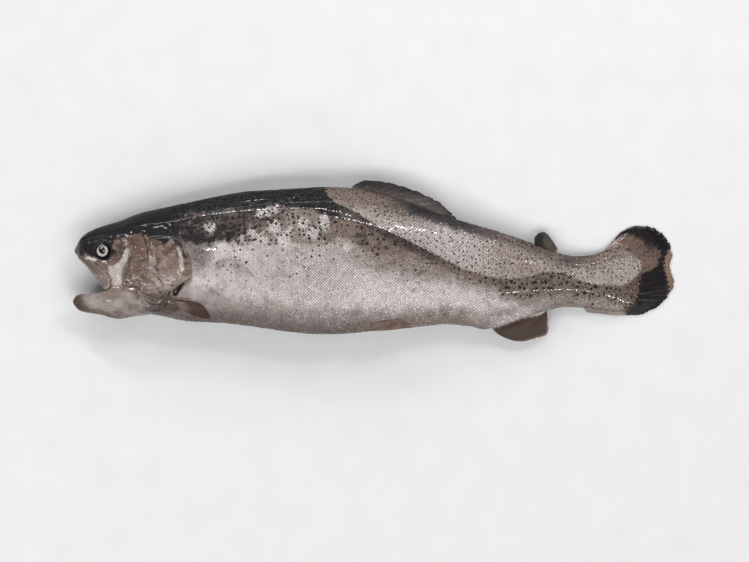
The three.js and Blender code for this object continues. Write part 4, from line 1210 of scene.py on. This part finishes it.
def eyeMaterial(look):
    material, wire, p = newMaterial("wetEye")
    flat = p.mapped(Scale=(1, 1, 0))
    px, py = look["pupilPlace"]
    turned = flat.mapped(Location=(-px, -py, 0)).mapped("TEXTURE", Rotation=(0, 0, -look["tilt"]),
                                                        Scale=(*look["pupil"], 1))
    pupil = turned.away(0, 0)
    fine, streak = p.cloud(0.5, 51), p.cloud(0.8, 52, 4)
    iris = look["iris"]
    colour = painted(look["silver"], look, [
        ("silverDark", (streak * 0.5 + fine * 0.3).rise(0.1, 1.2)),
        ("silverDark", pupil.fall(1, 1.5) * 0.6),
        ("dark", (flat.away(*eyePlace) + fine * 0.12).rise(iris - 0.3, iris + 0.15)),
        ("dark", (pupil + fine * 0.05).fall(0.86, 1.06))])
    finishMaterial(wire, colour, 0.22, coat=0.7, coatRough=0.02)
    return material


def eyeball(word, look, material):
    sign = 1 if word == "left" else -1

    def place(point, half):
        x, y, z = point.x * half.x / mm, point.y * half.x / mm, point.z * half.z / mm
        if z * sign > 0:  # a clear dome, level over the pupil, and a shallow ring at the iris's rim
            far = math.hypot(x, y)
            reach = max(far, look["level"])
            z = half.z / mm * math.sqrt(max(0, 1 - (reach * mm / half.x) ** 2))
            z += look["dome"][0] * bell(reach, look["dome"][1])
            z -= look["ring"][0] * bell(far - look["iris"], look["ring"][1])
            for dx, dy, size in look["facets"]:
                held = 1 - ease(math.hypot(x - dx, y - dy), size, size * look["facetEdge"])
                z += held * (look["tip"][0] * (x - dx) + look["tip"][1] * (y - dy))
            z *= sign
        return Vector((x, y, z)) * mm

    obj = piece("eyeball_" + word, moulded(look, *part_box("eye_" + word), place), material)
    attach(obj, "root")
    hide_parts("eye_" + word)


eyeSkin = eyeMaterial(eyeLook)
for word in ("left", "right"):
    eyeball(word, eyeLook, eyeSkin)

tongueLook = {
    "pale": (0.50, 0.38, 0.345), "dark": (0.36, 0.25, 0.225), "segments": (40, 24),
    "groove": (0.22, 0.28), "thinTip": 0.25, "floor": 0.3,
}


def tongueMaterial(look):
    material, wire, p = newMaterial("tongueFlesh")
    colour = blend(look["pale"], look["dark"], (p.cloud(1.6, 61) * 0.6 + 0.4).rise(0, 1))
    finishMaterial(wire, colour, 0.3 + p.cloud(0.8, 62) * 0.06, p.cloud(0.6, 63), 0.4, 0.0002,
                   coat=0.8, coatRough=0.08, soft=0.15)
    return material


def tongue(look):
    def place(point, half):
        x, y, z = point
        y -= look["groove"][0] * bell(z, look["groove"][1]) * max(0, y)
        return Vector((x, y, z * (1 - look["thinTip"] * max(0, -x)))) * half

    obj = piece("tongue_flesh", moulded(look, *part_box("tongue"), place), tongueMaterial(look))
    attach(obj, "root")
    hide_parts("tongue")


tongue(tongueLook)
print("eyes and tongue done")

# floor, light and camera
stageLook = {
    "floor": (0.50, 0.50, 0.51), "floorSize": 4, "air": (0.55, 0.57, 0.6), "airStrength": 0.2,
    "lampColour": (1, 0.99, 0.978), "aimHeight": 0.02, "longLamp": 0.5,
    # name, place, size, watts, and how far it is turned where it faces straight down
    "lamps": [ ("key", (0, -0.78, 1.45), (1.6, 0.9), 23.6, None),
              ("fill", (-0.05, 1.3, 0.66), (1.9, 0.018), 2, None),
              ("backStrip", (-1.05, 1.817, 0.9), (1.5, 0.12), 21, -48.6),
              ("sideStrip", (-0.44, 1.21, 0.9), (0.46, 0.09), 5.5, -30),
              ("backSpecks", (-0.26, 1.15, 0.22), (0.14, 0.02), 0.5, None),
              ("upperStrip", (-0.02, 0.97, 0.9), (0.68, 0.026), 3.8, -38),
              ("middleStrip", (0.2, 0.6, 0.9), (0.42, 0.03), 2.6, -34),
              ("rearStrip", (0.56, 0.7, 0.9), (0.56, 0.034), 4.2, 51),
              ("napeStrip", (-0.47, 0.76, 0.9), (0.4, 0.01), 0.12, -16),
              ("stockStrip", (0.66, -0.27, 0.9), (0.4, 0.024), 1.9, -14),
              ("lowStrip", (0.15, -1.2, 0.75), (1.6, 0.03), 3, None),
              ("cheekStrip", (-0.95, -0.42, 0.9), (0.46, 0.16), 7.5, 0),
              ("eyeLight", (-0.383, 0.127, 0.9), (0.045, 0.045), 0.38, 0),
              ("browLight", (-0.6, 0.4, 0.9), (0.04, 0.04), 0.25, 0),
              ("capLight", (-1.33, 1.15, 0.9), (0.32, 0.04), 2, 0),
              ("lidLight", (-1.03, 0.66, 0.9), (0.035, 0.035), 0.2, 0),
              ("lobeLight", (1.3, -0.45, 0.9), (0.05, 0.02), 0.12, 0),
              ("tailStrip", (0.62, 0.4, 0.9), (0.05, 0.05), 0.25, 0),
              ("tailLight", (1.35, 0.3, 0.85), (0.35, 0.35), 2, None), ],
    "viewCentre": (180.9, -11.4), "viewWidth": 449.4, "distance": 2.5, "sensor": 36, "clip": 20,
}


def stage(look):
    bm = bmesh.new()
    bmesh.ops.create_grid(bm, x_segments=1, y_segments=1, size=look["floorSize"])
    material, wire, _ = newMaterial("paleFloor")
    place = wire.node("TexCoord", {}, {}, "Object")
    colour = blend(look["floor"], tuple(c * 0.96 for c in look["floor"]), place.cloud(0.02, 71) * 0.5 + 0.5)
    finishMaterial(wire, colour, 0.6, coat=0)
    floor = piece("floor", bm, material)
    world = bpy.data.worlds.new("air")
    world.use_nodes = True
    air = world.node_tree.nodes["Background"]
    air.inputs["Color"].default_value = (*look["air"], 1)
    air.inputs["Strength"].default_value = look["airStrength"]
    bpy.context.scene.world = world
    middle = (boxLow + boxHigh) / 2
    for name, place, size, watts, turn in look["lamps"]:
        lamp = bpy.data.lights.new(name, "AREA")
        lamp.shape = "ELLIPSE" if size[0] < look["longLamp"] else "RECTANGLE"
        lamp.size, lamp.size_y = size
        lamp.energy = watts
        lamp.color = look["lampColour"]
        obj = linked(name, lamp)
        obj.location = place
        if turn is None:
            aim = Vector((middle.x, middle.y, look["aimHeight"])) - obj.location
            obj.rotation_euler = aim.to_track_quat("-Z", "Y").to_euler()
        else:
            obj.rotation_euler = (0, 0, math.radians(turn))


def camera(look):
    lens = bpy.data.cameras.new("camera")
    lens.sensor_width = look["sensor"]
    lens.lens = look["sensor"] * look["distance"] / (look["viewWidth"] * mm)
    lens.clip_end = look["clip"]
    obj = linked("camera", lens)
    height = (boxLow.z + boxHigh.z) / 2 / mm
    obj.location = spot(*look["viewCentre"], height) + Vector((0, 0, look["distance"]))
    bpy.context.scene.camera = obj


stage(stageLook)
camera(stageLook)
bpy.context.scene.view_settings.view_transform = "Standard"
bpy.context.scene.view_settings.look = "None"
print("stage done")
